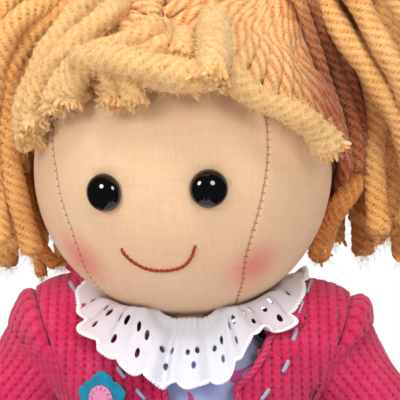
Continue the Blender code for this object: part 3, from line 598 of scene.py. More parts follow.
def headFinish():
    # Peach cotton with two soft blush spots, and along each seam a fine line between pairs of needle holes
    spots = [onBallAt(x, y, headSize["radius"]) for x, y in headLook["blushPlaces"]]

    def pattern(wire):
        height, slubs = weave(wire, "cloth", headLook["thread"])
        blotch = wire.noise(wire.place(), 45.0, 3.0)
        # Darker between threads: painted shade; slubs and blotches change the tone
        share = (height * 0.20 + slubs * 0.32 + blotch * 0.5 + 0.20).step(0.0, 1.0)
        colour = wire.mix(share, srgb(*headLook["shade"]), srgb(*headLook["light"]))
        for spot in spots:
            far = wire.place().vector("DISTANCE", wire.place(), tuple(spot), out=1)
            edge = (wire.noise(wire.place(), 260.0, 2.0) - 0.5) * 0.0035
            near = 1.0 - (far + edge).step(*headLook["blushReach"])
            colour = wire.mix(near * (0.62 + slubs * 0.30 + height * 0.10), colour, srgb(*headLook["blush"]))
        away, along = wire.uv("seam").parts()[:2]
        away = away.size()
        line = 1.0 - away.step(0.00010, 0.00042)
        colour = wire.mix(line * 0.62, colour, srgb(*headLook["seamColour"]))
        beat = (along / headLook["stitch"]).fract() - 0.5
        up = beat * headLook["stitch"]
        side = away - 0.00062
        hole = (side * side + up * up).root()
        colour = wire.mix((1.0 - hole.step(0.00018, 0.00046)) * 0.8, colour, srgb(*headLook["holeColour"]))
        return {"Base Color": colour, "height": height + slubs * 0.6}

    return makeMaterial("peachCottonFace", pattern, 0.88, 0.25, 0.00012, Sheen_Weight=0.15)


eyeSize = {
    "spacing": 0.0396,
    "drop": 0.0090,
    "radius": 0.0073,
    "height": 0.0053,
    "shankRadius": 0.0016,
    "shankEnd": -0.0084,
    "colour": (8, 8, 9),
}


def eyeWay(sign):
    # The direction in which an eye stands on the head
    x, z = sign * eyeSize["spacing"] / 2, -eyeSize["drop"]
    return unit(np.array((x, -np.sqrt(headSize["radius"] ** 2 - x**2 - z**2), z)))


def seamAzimuth(polar, side):
    # How far round the seam lies at each angle from the crown, smoothed by a running mean
    wide = headLook["seamSmooth"]
    azimuth = np.radians(np.interp(np.degrees(polar), headLook["seamPolar"], headLook[side]))
    return np.convolve(np.pad(azimuth, wide // 2, "edge"), np.full(wide, 1 / wide), "valid")[:, None]


def bell(values, width):
    # exp(-(values / width)^2)
    return np.exp(-((values / width) ** 2))


def makeHead():
    # Four gores from the crown to the neck. Each is a part of a ball, (azimuth, angle from the crown), whose radius
    # dips along the seams, puckers between the stitches, and is drawn in round the eyes.
    print("head")
    radius = headSize["radius"]
    polar = np.linspace(headLook["crownStart"], np.pi - headLook["neckStop"], headLook["rows"])[:, None]
    p = np.linspace(-1, 1, headLook["columns"] + 1)[None]
    left, right = (seamAzimuth(polar[:, 0], side) for side in ("seamLeft", "seamRight"))
    bounds = (-left, right, 3 * np.pi / 4 + 0 * polar, 5 * np.pi / 4 + 0 * polar, 2 * np.pi - left)
    parts = []
    for low, high in zip(bounds, bounds[1:]):
        azimuth = (low + high) / 2 + np.sin(np.pi / 2 * p) * (high - low) / 2
        across = azimuth - (low + high) / 2
        edge = radius * np.sin(polar) * ((high - low) / 2 - np.abs(across))
        along = radius * polar + 0 * edge
        away = np.where(across < 0, edge, -edge)
        dip = headLook["seamDepth"] * bell(edge, 0.00055) - 0.00010 * bell(edge - 0.0016, 0.0008)
        dip += headLook["pucker"] * np.sin(2 * np.pi * along / headLook["stitch"]) * bell(edge, 0.0018)
        level = np.sin(polar)
        way = np.stack([np.sin(azimuth) * level, -np.cos(azimuth) * level, np.cos(polar) + 0 * azimuth], -1)
        for _, sign in sides:
            eye = eyeWay(sign)
            rim = np.linalg.norm(way - eye, axis=-1) * radius - eyeSize["radius"]
            turn = np.arctan2(way[..., 2] - eye[2], way[..., 0] - eye[0])
            dip += headLook["eyePinch"] * bell(rim, 0.0020) * (1 + 0.35 * np.sin(7 * turn))
        grid = fromHead(way * (radius - dip)[..., None])
        cloth = np.stack([across * radius * level, -along], -1)
        parts.append({"grid": grid, "flip": True, "uv": {"cloth": cloth, "seam": np.stack([away, along], -1)}})
    replaced = ("face_panel", "side_panel_left", "side_panel_right", "back_panel", "head_filling")
    head = makePiece("headCover", parts, headFinish(), "head", replaced)
    addWeld(head, headLook["weld"])


def glossFinish():
    def pattern(wire):
        return {"Roughness": wire.noise(wire.place(), 900.0, 2.0) * 0.06 + 0.02}

    return makeMaterial("glossBlack", pattern, None, 1.0, Base_Color=srgb(*eyeSize["colour"]))


def turnedGrid(profile, count, centre, way):
    # A profile of (radius, height) rows turned round the way
    way = unit(np.asarray(way, float))
    across = unit(np.cross(way, (0.123, 0.456, 0.881)))
    angle = turnsOf(count)[..., None]
    ring = np.cos(angle) * across + np.sin(angle) * np.cross(way, across)
    return centre + profile[:, None, :1] * ring + profile[:, None, 1:2] * way


def makeEyes():
    # Half of a flattened ball each, with a rounded rim, and the shank that passes the cloth
    print("eyes")
    gloss = glossFinish()
    t = np.linspace(0, np.pi / 2, 26)
    for side, sign in sides:
        dome = np.stack([eyeSize["radius"] * np.sin(t), eyeSize["height"] * np.cos(t)], 1)[1:]
        radius, shank = eyeSize["radius"], eyeSize["shankRadius"]
        rim = [(radius, -0.0001), (radius - 0.0003, -0.0002), (shank, -0.0002), (shank, eyeSize["shankEnd"])]
        profile = np.concatenate([dome, rim])
        way = eyeWay(sign)
        seat = fromHead(way * (headSize["radius"] + 0.0001))
        grid = turnedGrid(profile, 56, seat, headTurn @ way)
        part = {"grid": grid, "around": True, "ends": (True, True), "flip": True}
        makePiece(f"eyeDome_{side}", [part], gloss, "head", (f"eye_{side}",))


smileLook = {
    "path": ((121, 249), (125, 255), (133, 262), (145, 268.5), (159, 271), (173, 270), (184, 266), (191, 258), (195, 247)),
    "thread": 0.00052,
    "stitch": 0.0042,
    "colour": (176, 52, 28),
    "shade": (112, 28, 18),
}


def threadFinish(name, colour, shade, scale=1.0):
    # Twisted thread: dark between its plies as painted shade, with fine fibre along them
    def pattern(wire):
        u, v = wire.uv("yarn").parts()[:2]
        hair = wire.noise(wire.joined(u * 1500 * scale, v * 9000 * scale), 1.0, 2.0)
        share = wire.mark("ridge") * 0.8 + hair * 0.5 - 0.1
        return {"Base Color": wire.mix(share.step(0.0, 1.0), srgb(*shade), srgb(*colour)), "height": hair}

    return makeMaterial(name, pattern, 0.75, 0.3, 0.00006, Sheen_Weight=0.2)


def makeSmile():
    # Stem stitch: short twisted threads along the line, each half over the last and a little aslant
    print("smile")
    random = np.random.default_rng(4)
    x, y = np.array(smileLook["path"]).T
    centre, along = throughKnots(onBallAt(x, y, headSize["radius"] + 0.00035), 0.0003)
    look = {"spacing": 0.00022, "around": 14, "plies": 2, "pitch": 0.0021, "groove": 0.32, "sway": 0.0}
    parts = []
    for k, start in enumerate(np.arange(-0.0006, along[-1] - 0.0012, smileLook["stitch"] * 0.5)):
        t = np.clip(np.array((0, 0.25, 0.5, 0.75, 1)) * smileLook["stitch"] + start, 0, along[-1])
        points = np.stack([np.interp(t, along, centre[:, axis]) for axis in range(3)], 1)
        out = unit(points - headCentre)
        way = unit(np.gradient(points, axis=0))
        down = np.cross(way, out)
        slant = np.array((-1, -0.5, 0, 0.5, 1)) * 0.00022
        lift = np.array((-0.0007, 0.0001, 0.00024, 0.0001, -0.0007))
        points = points + down * slant[:, None] + out * (lift + random.normal(0, 0.00004))[:, None]
        parts.append(yarn(points, fromMiddle, smileLook["thread"], look, k * 1.3, (True, True)))
    tip = centre[-1]
    parts += fibres(random, tip, (0.4, -0.5, 0.6), 0.0003, 4, 0.0022, 0.00007)
    material = threadFinish("redThread", smileLook["colour"], smileLook["shade"])
    makePiece("smile", parts, material, "head", ("smile_stitch",))


woolLook = {
    # Colours on top of the plies, between and at their deepest, the deeper ones as painted shade in the grooves
    "bunch": ((253, 212, 144), (242, 168, 92), (196, 94, 44)),
    "drawn": ((250, 212, 154), (238, 162, 90), (184, 76, 34)),
    "soft": ((250, 214, 156), (242, 184, 112), (214, 118, 54)),
    # Painted shade towards +X on the crown: where it starts and ends in x, and its colour
    "paintedShadeSide": (0.035, 0.055),
    "shade": (150, 38, 14),
}
softYarn = {"spacing": 0.00108, "around": 24, "plies": 5, "pitch": -0.0190, "groove": 0.20, "sway": 0.12, "rough": 0.035}
thickYarn = {"spacing": 0.0010, "around": 24, "plies": 5, "pitch": -0.0190, "groove": 0.22, "sway": 0.07, "rough": 0.016}
drawnYarn = {"spacing": 0.0012, "around": 20, "plies": 4, "pitch": -0.0300, "groove": 0.28, "sway": 0.07, "flat": 0.8, "rough": 0.018}
hair = {
    "slope": 0.55,
    "base": 0.0620,
    "baseShort": 0.045,
    "crownRadius": 0.0648,
    "topBulge": 0.0052,
    # Drawn-up strands that stand out from the doll's left side below the tie: picture point and depth in millimetres
    "sideRoutes": (
        ((286, -20, -18), (299, 0, -19), (308, 26, -15), (316, 54, -10), (325, 84, -6), (335, 114, -3),
         (343, 144, -1), (347, 172, -2)),
        ((292, -22, -15), (307, -4, -16), (318, 20, -10), (328, 48, -3), (339, 80, 2), (350, 112, 4),
         (356, 144, 4), (358, 172, 3)),
        ((296, -22, -8), (314, -2, -9), (328, 24, -4), (341, 56, 2), (352, 88, 6), (361, 120, 8), (367, 150, 8),
         (368, 178, 7)),
    ),
    "sideRadius": 0.0042,
    "sidePitch": -0.0170,
    "sideClear": 0.0650,
    # Radius and height along the tie's way, from the ball up to the tie
    "climb": ((0.0165, 0.0690), (0.0120, 0.0765), (0.0088, 0.0835), (0.0070, 0.0880)),
    "strandRadius": 0.0035,
    "strands": 44,
    "tieLean": 32.5,
    "tieBack": 3.5,
    "tieDistance": 0.0860,
    "endFibres": 40,
    "fuzz": 9000,
    "fringeRadius": 0.0050,
    # Fringe strands from root to tip: picture point and depth in millimetres
    "fringeStout": {0: 1.08, 8: 1.10, 10: 1.30},
    "fringeGrown": {10: 1.0, 11: 1.32},
    "fringeRoutes": (
        ((100, -10, -6), (84, 4, -12), (66, 26, -17), (50, 50, -22), (36, 80, -25), (28, 106, -27),
         (26, 126, -28), (30, 142, -32)),
        ((124, 2, -22), (100, 22, -38), (74, 44, -42), (52, 66, -40), (38, 90, -36), (33, 112, -34), (36, 130, -36)),
        ((158, 22, -53), (144, 36, -59), (122, 44, -60), (98, 52, -58), (78, 64, -53), (64, 82, -49),
         (57, 100, -45), (55, 112, -45)),
        ((128, 60, -58), (110, 58, -56), (90, 64, -55), (76, 78, -52), (70, 94, -49), (68, 106, -49)),
        ((160, 28, -40), (162, 38, -52), (157, 48, -60), (146, 53, -60), (132, 54, -58)),
        ((182, 37, -44), (182, 45, -54), (182, 54, -62), (180, 62, -64)),
        ((104, 60, -56), (110, 74, -59), (114, 90, -59), (112, 106, -60)),
        ((120, 62, -61), (128, 76, -62), (132, 90, -63), (134, 105, -63)),
        ((76, 58, -55), (100, 58, -64), (128, 61, -70), (156, 68, -73), (182, 74, -74), (204, 76, -73), (220, 72, -70)),
        ((128, 70, -61), (152, 76, -66), (178, 79, -69), (200, 81, -68)),
        ((212, 17, -32), (213, 30, -48), (214, 46, -62), (213, 64, -76), (211, 82, -79)),
        ((226, 62, -58), (236, 80, -63), (252, 94, -64), (270, 104, -62), (288, 111, -59), (303, 119, -55),
         (315, 130, -50), (325, 142, -46), (331, 150, -44)),
    ),
}
bunch = {
    "radius": 0.0049,
    "narrow": 0.0027,
    "headClear": 0.0649,
    # Strands seen in front, from the tie to the end: picture point and depth in millimetres
    "right": (
        ((300, -16, 1), (320, -3, -8), (335, 20, -11), (348, 42, -12), (364, 64, -12), (379, 88, -11),
         (394, 112, -9), (405, 136, -7), (411, 165, -4), (412, 195, -2), (410, 226, 0)),
        ((302, -20, 0), (330, -20, -12), (353, -6, -17), (371, 26, -18), (388, 56, -18), (404, 86, -16),
         (418, 122, -13), (427, 160, -10), (430, 198, -7), (427, 234, -4)),
        ((304, -22, 4), (345, -36, -10), (376, -24, -20), (402, 6, -22), (421, 42, -21), (434, 86, -18),
         (440, 130, -14), (441, 180, -10), (438, 220, -8)),
        ((300, -14, 12), (336, 14, 20), (372, 62, 20), (396, 104, 19), (405, 132, 16), (398, 150, 13),
         (381, 160, 11), (360, 178, 9), (342, 202, 6), (328, 228, 4), (318, 258, 3)),
        ((302, -16, 14), (356, 4, 26), (396, 50, 28), (408, 100, 27), (400, 150, 24), (390, 190, 21),
         (385, 220, 18), (389, 236, 16)),
        ((304, -20, 16), (366, -8, 30), (412, 44, 34), (428, 104, 34), (420, 160, 30), (410, 204, 27), (404, 236, 24)),
    ),
    "rightShade": (
        ((300, -16, 10), (316, 12, 14), (333, 50, 16), (351, 90, 16), (366, 130, 14), (374, 168, 12), (377, 198, 10)),
        ((298, -14, 4), (308, 12, 7), (319, 48, 9), (331, 86, 11), (342, 124, 11), (349, 158, 10), (352, 184, 9)),
    ),
    "leftShade": (((78, -14, 12), (66, 14, 12), (48, 48, 13), (34, 86, 14), (26, 122, 13), (22, 160, 11), (24, 196, 9)),),
    "rightNarrow": (((302, -12, 14), (346, 20, 22), (378, 70, 24), (388, 116, 22), (380, 152, 20), (371, 186, 18), (365, 219, 16)),),
    "left": (
        ((76, -14, 4), (62, -9, -10), (45, 3, -15), (27, 13, -18), (11, 29, -18), (1, 53, -16), (-6, 86, -13),
         (-10, 124, -10), (-9, 162, -8), (-5, 202, -6), (1, 243, -5)),
        ((78, -8, 2), (64, 4, -11), (44, 21, -13), (27, 40, -12), (15, 62, -11), (8, 86, -10), (6, 114, -8),
         (8, 148, -7), (14, 184, -5), (22, 215, -4), (29, 238, -4), (33, 254, -4)),
        ((74, -14, 6), (44, -18, -8), (10, 0, -12), (-14, 34, -14), (-24, 80, -13), (-26, 130, -10),
         (-22, 180, -8), (-14, 216, -6), (-10, 236, -6)),
        ((78, -8, 10), (56, 20, 9), (38, 60, 8), (29, 100, 8), (27, 140, 7), (30, 172, 6), (37, 208, 5), (44, 232, 5)),
        ((76, -12, 14), (40, 0, 22), (8, 44, 24), (-8, 100, 22), (-12, 150, 20), (-8, 196, 17), (-2, 226, 16)),
    ),
    "leftNarrow": (
        ((74, -10, 14), (42, 12, 16), (16, 54, 16), (6, 104, 15), (7, 150, 12), (12, 192, 10), (17, 227, 9)),
        ((76, -8, 12), (48, 16, 14), (28, 62, 14), (22, 112, 12), (24, 162, 9), (32, 208, 7), (40, 242, 5),
         (49, 258, 5), (57, 266, 5)),
        ((76, -8, 16), (46, 14, 20), (22, 60, 20), (18, 120, 18), (22, 172, 15), (31, 222, 13), (38, 256, 11),
         (42, 276, 10)),
    ),
    # A share of light for each seen strand, in the order of the lists above: below 1 its colour is darkened as painted
    # shade
    "rightLight": (1.0, 1.0, 1.0, 0.55, 0.75, 0.85, 0.30, 0.22, 0.55),
    "leftLight": (1.0, 0.80, 1.0, 0.50, 0.70, 0.30, 0.60, 0.45, 0.60),
    # Strands behind them, by rule: ends at even turns from the side to the back
    "backStrands": 9,
    # The strands behind all take this share of light, their colour darkened as painted shade
    "backPaintedLight": 0.8,
    "heart": 0.0078,
    "drop": 0.0400,
    "near": 0.0790,
    "far": 0.0930,
    "rise": 0.0240,
    "front": 14.0,
    "back": 52.0,
}


def woolFinish(name, kind, relief=0.95, side=None):
    # Wool: pale on top of each ply and deep orange between plies, that deep orange being painted shade, with fibres
    # that run along them
    light, mid, deep = woolLook[kind]

    def pattern(wire):
        u, v = wire.uv("yarn").parts()[:2]
        hair = wire.noise(wire.joined(u * 700, v * 2600), 1.0, 4.0, 0.7)
        speck = wire.noise(wire.place(), 1300.0, 2.0)
        blotch = wire.noise(wire.place(), 34.0, 2.0)
        # The ridge mark paints the grooves between plies darker: painted shade; the noises change the tone
        share = wire.mark("ridge") * relief + 0.95 - relief
        share = share + (hair - 0.5) * 1.3 + (speck - 0.5) * 1.1 + (blotch - 0.5) * 0.5
        colour = wire.mix(share.step(-0.05, 0.55), srgb(*deep), srgb(*mid))
        colour = wire.mix(share.step(0.40, 1.10), colour, srgb(*light))
        # Painted shade: past the given x the colour turns to the shade colour, less so on top of the plies
        if side:
            shade = wire.place().parts()[0].step(*side[:2])
            colour = wire.mix(shade * (1.0 - share * 0.35), colour, srgb(*woolLook["shade"]))
        return {"Base Color": colour, "height": hair}

    return makeMaterial(name, pattern, 0.95, 0.12, 0.00050, Sheen_Weight=0.12, Sheen_Roughness=0.5)


def tieWay(sign):
    lean, back = np.radians(hair["tieLean"]), np.radians(hair["tieBack"])
    return np.array((sign * np.sin(lean), np.cos(lean) * np.sin(back), np.cos(lean) * np.cos(back)))


def makeCrown(wool):
    # Base: a cap from the crown down to the hairline, the plane z = -slope y. Over it, on each side, strands fan out
    # from the tie: each follows the ball along one bearing from the parting or the hairline, then climbs to the tie.
    print("crown")
    edge = np.linspace(0, 2 * np.pi, 97)[None]
    facing = np.stack([np.sin(edge), -np.cos(edge)], -1)
    lowest = np.pi / 2 + np.arctan(hair["slope"] * facing[..., 1]) - hair["baseShort"]
    t = np.linspace(0.02, 1, 40)[:, None]
    polar = t * lowest
    radius = hair["base"] - 0.0019 * np.clip((t - 0.97) / 0.03, 0, 1)
    grid = np.stack([np.sin(polar) * facing[..., 0], np.sin(polar) * facing[..., 1], np.cos(polar)], -1) * radius[..., None]
    grid = fromHead(grid[:, :-1])
    uv = np.stack(np.broadcast_arrays(edge * 0.06, polar * 0.06), -1)
    base = {"grid": grid, "around": True, "ends": (True, False), "flip": True, "uv": {"yarn": uv}}
    # A low ridge mark paints the cap under the strands in the deep colour: painted shade
    base["marks"] = {"ridge": 0 * grid[..., 0] + 0.1}
    makePiece("hairBase", [base], wool, "head", ("hair_cap",))

    random = np.random.default_rng(7)
    ball = hair["crownRadius"]
    for side, sign in sides:
        way = tieWay(sign)
        across = unit(np.cross(way, (0, 1, 0)))
        other = np.cross(way, across)
        fine = np.radians(np.linspace(14, 165, 600))
        parts = []
        for k in range(hair["strands"]):
            bearing = 2 * np.pi * (k + 0.5 * random.uniform(-0.2, 0.2)) / hair["strands"]
            out = np.cos(bearing) * across + np.sin(bearing) * other
            trail = np.cos(fine)[:, None] * way + np.sin(fine)[:, None] * out
            beyond = (trail[:, 0] * sign < 0.012) | (trail[:, 2] < -hair["slope"] * trail[:, 1] - 0.035)
            last = fine[max(np.argmax(beyond), 1)] if beyond.any() else fine[-1]
            turns = np.linspace(last, np.radians(22), 6)
            body = np.cos(turns)[:, None] * way + np.sin(turns)[:, None] * out
            bulge = hair["topBulge"] * blendStep(0.78, 0.97, body[:, 2:])
            knots = body * (ball + random.uniform(-0.0007, 0.0009) + bulge)
            twist = out + 0.10 * np.cross(way, out)
            climb = [way * h + twist * r for r, h in hair["climb"]]
            knots = fromHead(np.concatenate([knots, climb]))
            thin = lambda t: (1 - 0.45 * blendStep(0.45, 1.0, t)) * np.sqrt(np.clip(t * 14 + 0.45, 0, 1))
            phase = random.uniform(0, 6)
            parts.append(yarn(knots, fromMiddle, hair["strandRadius"], drawnYarn, phase, (False, False), thin))
        for route in hair["sideRoutes"] if sign > 0 else ():
            knots = clearOfHead(fromPicture(route), hair["sideClear"])
            thin = lambda t: 0.72 + 0.28 * blendStep(0.0, 0.5, t)
            look = dict(drawnYarn, pitch=hair["sidePitch"])
            parts.append(yarn(knots, fromMiddle, hair["sideRadius"], look, random.uniform(0, 6), (False, True), thin))
        parts += fuzz(random, parts, hair["fuzz"], 0.0016)
        makePiece(f"crown_{side}", parts, wool, "head", ())


def makeFringe(wool):
    print("fringe")
    random = np.random.default_rng(11)
    parts = []
    for k, route in enumerate(hair["fringeRoutes"]):
        knots = fromPicture(route)
        grown = hair["fringeGrown"].get(k, 1.12)
        thin = lambda t: 1.0 + (grown - 1) * blendStep(0.65, 1.0, t)
        radius = hair["fringeRadius"] * hair["fringeStout"].get(k, 1.0)
        parts.append(yarn(knots, fromMiddle, radius, softYarn, k * 1.7, (True, True), thin))
        way = unit(knots[-1] - knots[-2])
        parts += tuft(random, knots[-1] - way * radius * 0.5, way, radius * (0.55 + 0.45 * grown))
        parts += fibres(random, knots[-1], way, radius * 0.95, hair["endFibres"], 0.0040)
    parts += fuzz(random, parts, hair["fuzz"] * 2, 0.0022)
    makePiece("fringeYarn", parts, wool, "head", ("fringe",))


def fromPicture(points):
    # Picture points with depths in millimetres, as places
    place = np.array(studio["cameraPlace"])
    x, y, depth = np.array(points, float).T
    ray = np.stack(pictureRay(x, y), -1)
    return place + ray * ((depth / 1000 - place[1]) / ray[:, 1])[:, None]


def clearOfHead(line, gap):
    # Points too near the head's middle move straight back, or forwards if they lie in front
    away = line - headCentre
    flat = np.hypot(away[:, 0], away[:, 2])
    need = np.sqrt(np.maximum(gap**2 - flat**2, 0))
    line = line.copy()
    line[:, 1] = headCentre[1] + np.where(away[:, 1] < -0.001, np.minimum(away[:, 1], -need), np.maximum(away[:, 1], need))
    return line


def makeBunch(side, sign, wool):
    # Seen strands follow their picture points. Behind them, strands leave the tie outwards, arch over and hang: the
    # way out grows as 1 - (1 - t)^3, and the height is a parabola plus a fall with t squared.
    random = np.random.default_rng(20 + sign)
    routes = [(fromPicture(points), bunch["radius"]) for points in bunch[side] + bunch[side + "Shade"]]
    routes += [(fromPicture(points), bunch["narrow"]) for points in bunch[side + "Narrow"]]
    start = tieWay(sign) * (hair["tieDistance"] + 0.004)
    reachStart = np.hypot(start[0], start[1])
    turnStart = np.degrees(np.arctan2(start[1], abs(start[0])))
    count = bunch["backStrands"]
    for i in range(count):
        share = i / (count - 1)
        turnEnd = bunch["front"] + (bunch["back"] - bunch["front"]) * share
        ring = (i * 4 % count) / (count - 1)
        reach = bunch["near"] + (bunch["far"] - bunch["near"]) * ring
        low = -bunch["drop"] * (0.62 + 0.38 * ((i * 3 + 1) % 4) / 3)
        t = np.linspace(0, 1, 9)
        out = reachStart + (reach - reachStart) * (1 - (1 - t) ** 3)
        z = start[2] + bunch["rise"] * (0.3 + 0.7 * ring) * 4 * t * (1 - t) + (low - start[2]) * t**2
        turn = np.radians(turnStart + (turnEnd - turnStart) * blendStep(0, 0.7, t))
        knots = np.stack([sign * out * np.cos(turn), out * np.sin(turn), z], 1)
        knots[1:] += random.normal(0, 0.0010, (len(t) - 1, 3))
        routes.append((fromHead(knots), bunch["radius"]))
    heart = fromHead(tieWay(sign) * (hair["tieDistance"] + np.linspace(-0.010, 0.006, 5)[:, None]))
    parts = [yarn(heart, lambda line: line * 0 + (0, -1, 0), bunch["heart"], thickYarn, 0.0, (True, True))]
    # Each strand's share of light: those in shade are painted darker
    paintedLights = bunch[side + "Light"] + (bunch["backPaintedLight"],) * count
    for (knots, radius), paintedLight in zip(routes, paintedLights):
        knots[3:] = clearOfHead(knots[3:], bunch["headClear"] - bunch["radius"] + radius + 0.0005)
        outwards = lambda line: (line - headCentre) * (1, 1, 0.05)
        thin = lambda t: 0.62 + 0.38 * blendStep(0.0, 0.12, t)
        parts.append(yarn(knots, outwards, radius, thickYarn, random.uniform(0, 6), (False, True), thin, paintedLight))
        way = unit(knots[-1] - knots[-2])
        parts += tuft(random, knots[-1] - way * radius * 0.7, way, radius * 0.92, 16)
        parts += fibres(random, knots[-1], way, radius * 0.85, hair["endFibres"], 0.0030)
    parts += fuzz(random, parts, hair["fuzz"], 0.0019)
    makePiece(f"bunchYarn_{side}", parts, wool, f"bunch_{side}", (f"bunch_{side}",))


tie = {
    # Each ring's lift along the tied hair and its radius
    "rings": ((-0.0007, 0.0124), (0.0012, 0.0126), (0.0031, 0.0122)),
    "thick": 0.00105,
    "ribs": 48,
    "colours": ((110, 140, 196), (50, 66, 110)),
}


def makeTie(side, sign):
    # Covered elastic wound three times: ribbed rings side by side round the drawn-up hair
    way = tieWay(sign)
    parts = []
    around = np.linspace(0, 2 * np.pi, 145)[None]
    ring = np.linspace(0, 2 * np.pi, 13)[:, None]
    across = unit(np.cross(way, (0, 1, 0)))
    other = np.cross(way, across)
    ribs = np.cos(tie["ribs"] * around)
    for lift, wide in tie["rings"]:
        small = tie["thick"] * (1 + 0.10 * ribs)
        out = wide + small * np.cos(ring)
        up = hair["tieDistance"] + lift + small * np.sin(ring)
        grid = out[..., None] * (np.cos(around)[..., None] * across + np.sin(around)[..., None] * other) + up[..., None] * way
        uv = np.stack(np.broadcast_arrays(around * 0.014, ring * 0.001), -1)
        # The ribs' mark paints the hollows between ribs darker: painted shade
        ridge = np.broadcast_to(0.5 + 0.5 * ribs, grid.shape[:2])[:-1, :-1]
        closing = np.concatenate([grid[-2:-1, :-1], grid[:1, :-1]])
        for rows, rowUv, mark in ((grid[:-1, :-1], uv[:-1], ridge), (closing, uv[-2:], ridge[[0, 0]])):
            part = {"grid": fromHead(rows), "around": True, "flip": True, "uv": {"yarn": rowUv}}
            parts.append({**part, "marks": {"ridge": mark}})
    elastic = threadFinish(f"elastic_{side}", *tie["colours"], 0.6)
    makePiece(f"tieBand_{side}", parts, elastic, "head", (f"hair_tie_{side}",))


def makeHair():
    wool = woolFinish("blondWool", "bunch")
    # The crown's wool carries painted shade towards +X
    makeCrown(woolFinish("blondWoolDrawn", "drawn", side=woolLook["paintedShadeSide"]))
    makeFringe(woolFinish("blondWoolSoft", "soft", 0.85))
    for side, sign in sides:
        print("bunch", side)
        makeBunch(side, sign, wool)
        makeTie(side, sign)


torsoSize = {
    "heights": (0.0013, 0.0060, 0.0160, 0.0280, 0.0440, 0.0680, 0.0770, 0.0840, 0.0880),
    "widths": (0.0290, 0.0355, 0.0392, 0.0392, 0.0370, 0.0365, 0.0335, 0.0250, 0.0150),
    "depthShare": 0.80,
    "power": 2.4,
    # How far the bodice and the bloomers stand off, and the bodice's lowest and highest rows
    "loose": 0.0013,
    "bodice": (0.0443, 0.0846),
}
shoulder = {"across": 0.0510, "back": 0.0020, "height": 0.0820, "radius": 0.0205, "splay": 39.0}


def torsoWidth(z):
    return np.interp(z, torsoSize["heights"], torsoSize["widths"])


def ovalPoint(turn, wide, deep):
    # A rounded-square oval, |x/wide|^p + |y/deep|^p = 1; the turn is counted from the front towards +X
    power = 2 / torsoSize["power"]
    x, y = np.sin(turn), -np.cos(turn)
    return wide * np.sign(x) * np.abs(x) ** power, deep * np.sign(y) * np.abs(y) ** power


def plainFinish(name, colour, roughness, specular=0.3, spread=0.08, scale=120.0, bump=0.00008):
    # A plain surface with faint mottling and grain
    def pattern(wire):
        grain = wire.noise(wire.place(), scale * 8, 3.0)
        mottle = wire.noise(wire.place(), scale, 2.0)
        pale = tuple(min(255, c * (1 + spread)) for c in colour)
        dim = tuple(c * (1 - spread) for c in colour)
        share = (grain * 0.5 + mottle * 0.5).step(0.3, 0.7)
        return {"Base Color": wire.mix(share, srgb(*dim), srgb(*pale)), "height": grain}

    return makeMaterial(name, pattern, roughness, specular, bump)


knit = {
    "rib": 0.0038,
    "row": 0.0029,
    "relief": 0.0015,
    "cell": 0.00046,
    "light": (220, 72, 118),
    "mid": (200, 34, 80),
    "deep": (136, 10, 40),
    "letOut": 0.0036,
    "wideHeights": (0.040, 0.055, 0.066, 0.080, 0.088, 0.100),
    "wideHalf": (0.0450, 0.0500, 0.0540, 0.0560, 0.0510, 0.0420),
    "neckLeft": ((69, 268), (77, 275), (87, 286), (110, 312), (135, 348), (162, 382), (167, 400), (167, 425)),
    "neckRight": ((306, 284), (292, 325), (270, 335), (261, 357), (248, 375), (234, 389), (236, 400), (238, 425)),
    "frontDepth": -0.036,
    "armhole": 0.0610,
    "leftArmholeIn": 0.0050,
    "armpit": 0.0800,
    # The balls beside the neck: their x, y and z, and the radius of the left and the right one
    "neckRise": (0.0440, 0.0040, 0.0900, 0.0170, 0.0135),
    # The right armhole's seam: x and z of a point of it, and how much x grows with z
    "armholeLine": (0.0509, 0.0605, 0.3795),
    # Rays that find the knit start from this y and z
    "heart": (0.002, 0.066),
    "backAcross": (0.0, 0.018, 0.029, 0.038, 0.046, 0.0585),
    "backHeights": (0.0840, 0.0855, 0.0905, 0.0990, 0.1150, 0.1200),
    "panelRows": 128,
    "wall": 0.0016,
    "sideWall": 0.0014,
    "sideLap": 0.14,
    "bottom": 0.0470,
    "stitchesLeft": ((76, 290), (101, 336), (124, 373), (143, 394)),
    "stitchesRight": ((306, 289), (298, 310), (291, 336), (282, 367), (262, 394)),
}


def knitRelief(u, v):
    # Rib knitting: round ribs with V-shaped stitches along them, and a hole between ribs at every row. u runs across
    # the ribs and v along them, in ribs and rows. Returns the height and a mark for the colour, 0 to 1, low in the
    # grooves and holes as painted shade and changed a little from stitch to stitch.
    across = np.abs(u - np.round(u)) * 2
    rib = 1 - 0.50 * across**2.2
    loop = np.abs(np.cos(np.pi * (v + 0.60 * across))) ** 0.4
    middle = np.exp(-((across / 0.16) ** 2))
    away = v - np.round(v)
    hole = np.exp(-(((across - 1) / 0.34) ** 2) - (away / 0.22) ** 2)
    own = np.sin(np.round(u) * 127.1 + np.floor(v + 0.6 * across) * 311.7) * 437.5
    own = own - np.floor(own) - 0.5
    height = rib - 0.18 * (1 - loop) - 0.10 * middle - 0.30 * hole * (1 + own) + 0.10 * own
    return height, np.clip(0.10 + 0.62 * rib - 0.20 * (1 - loop) - 0.08 * middle - 0.26 * hole * (1 + own) + 0.14 * own, 0, 1)


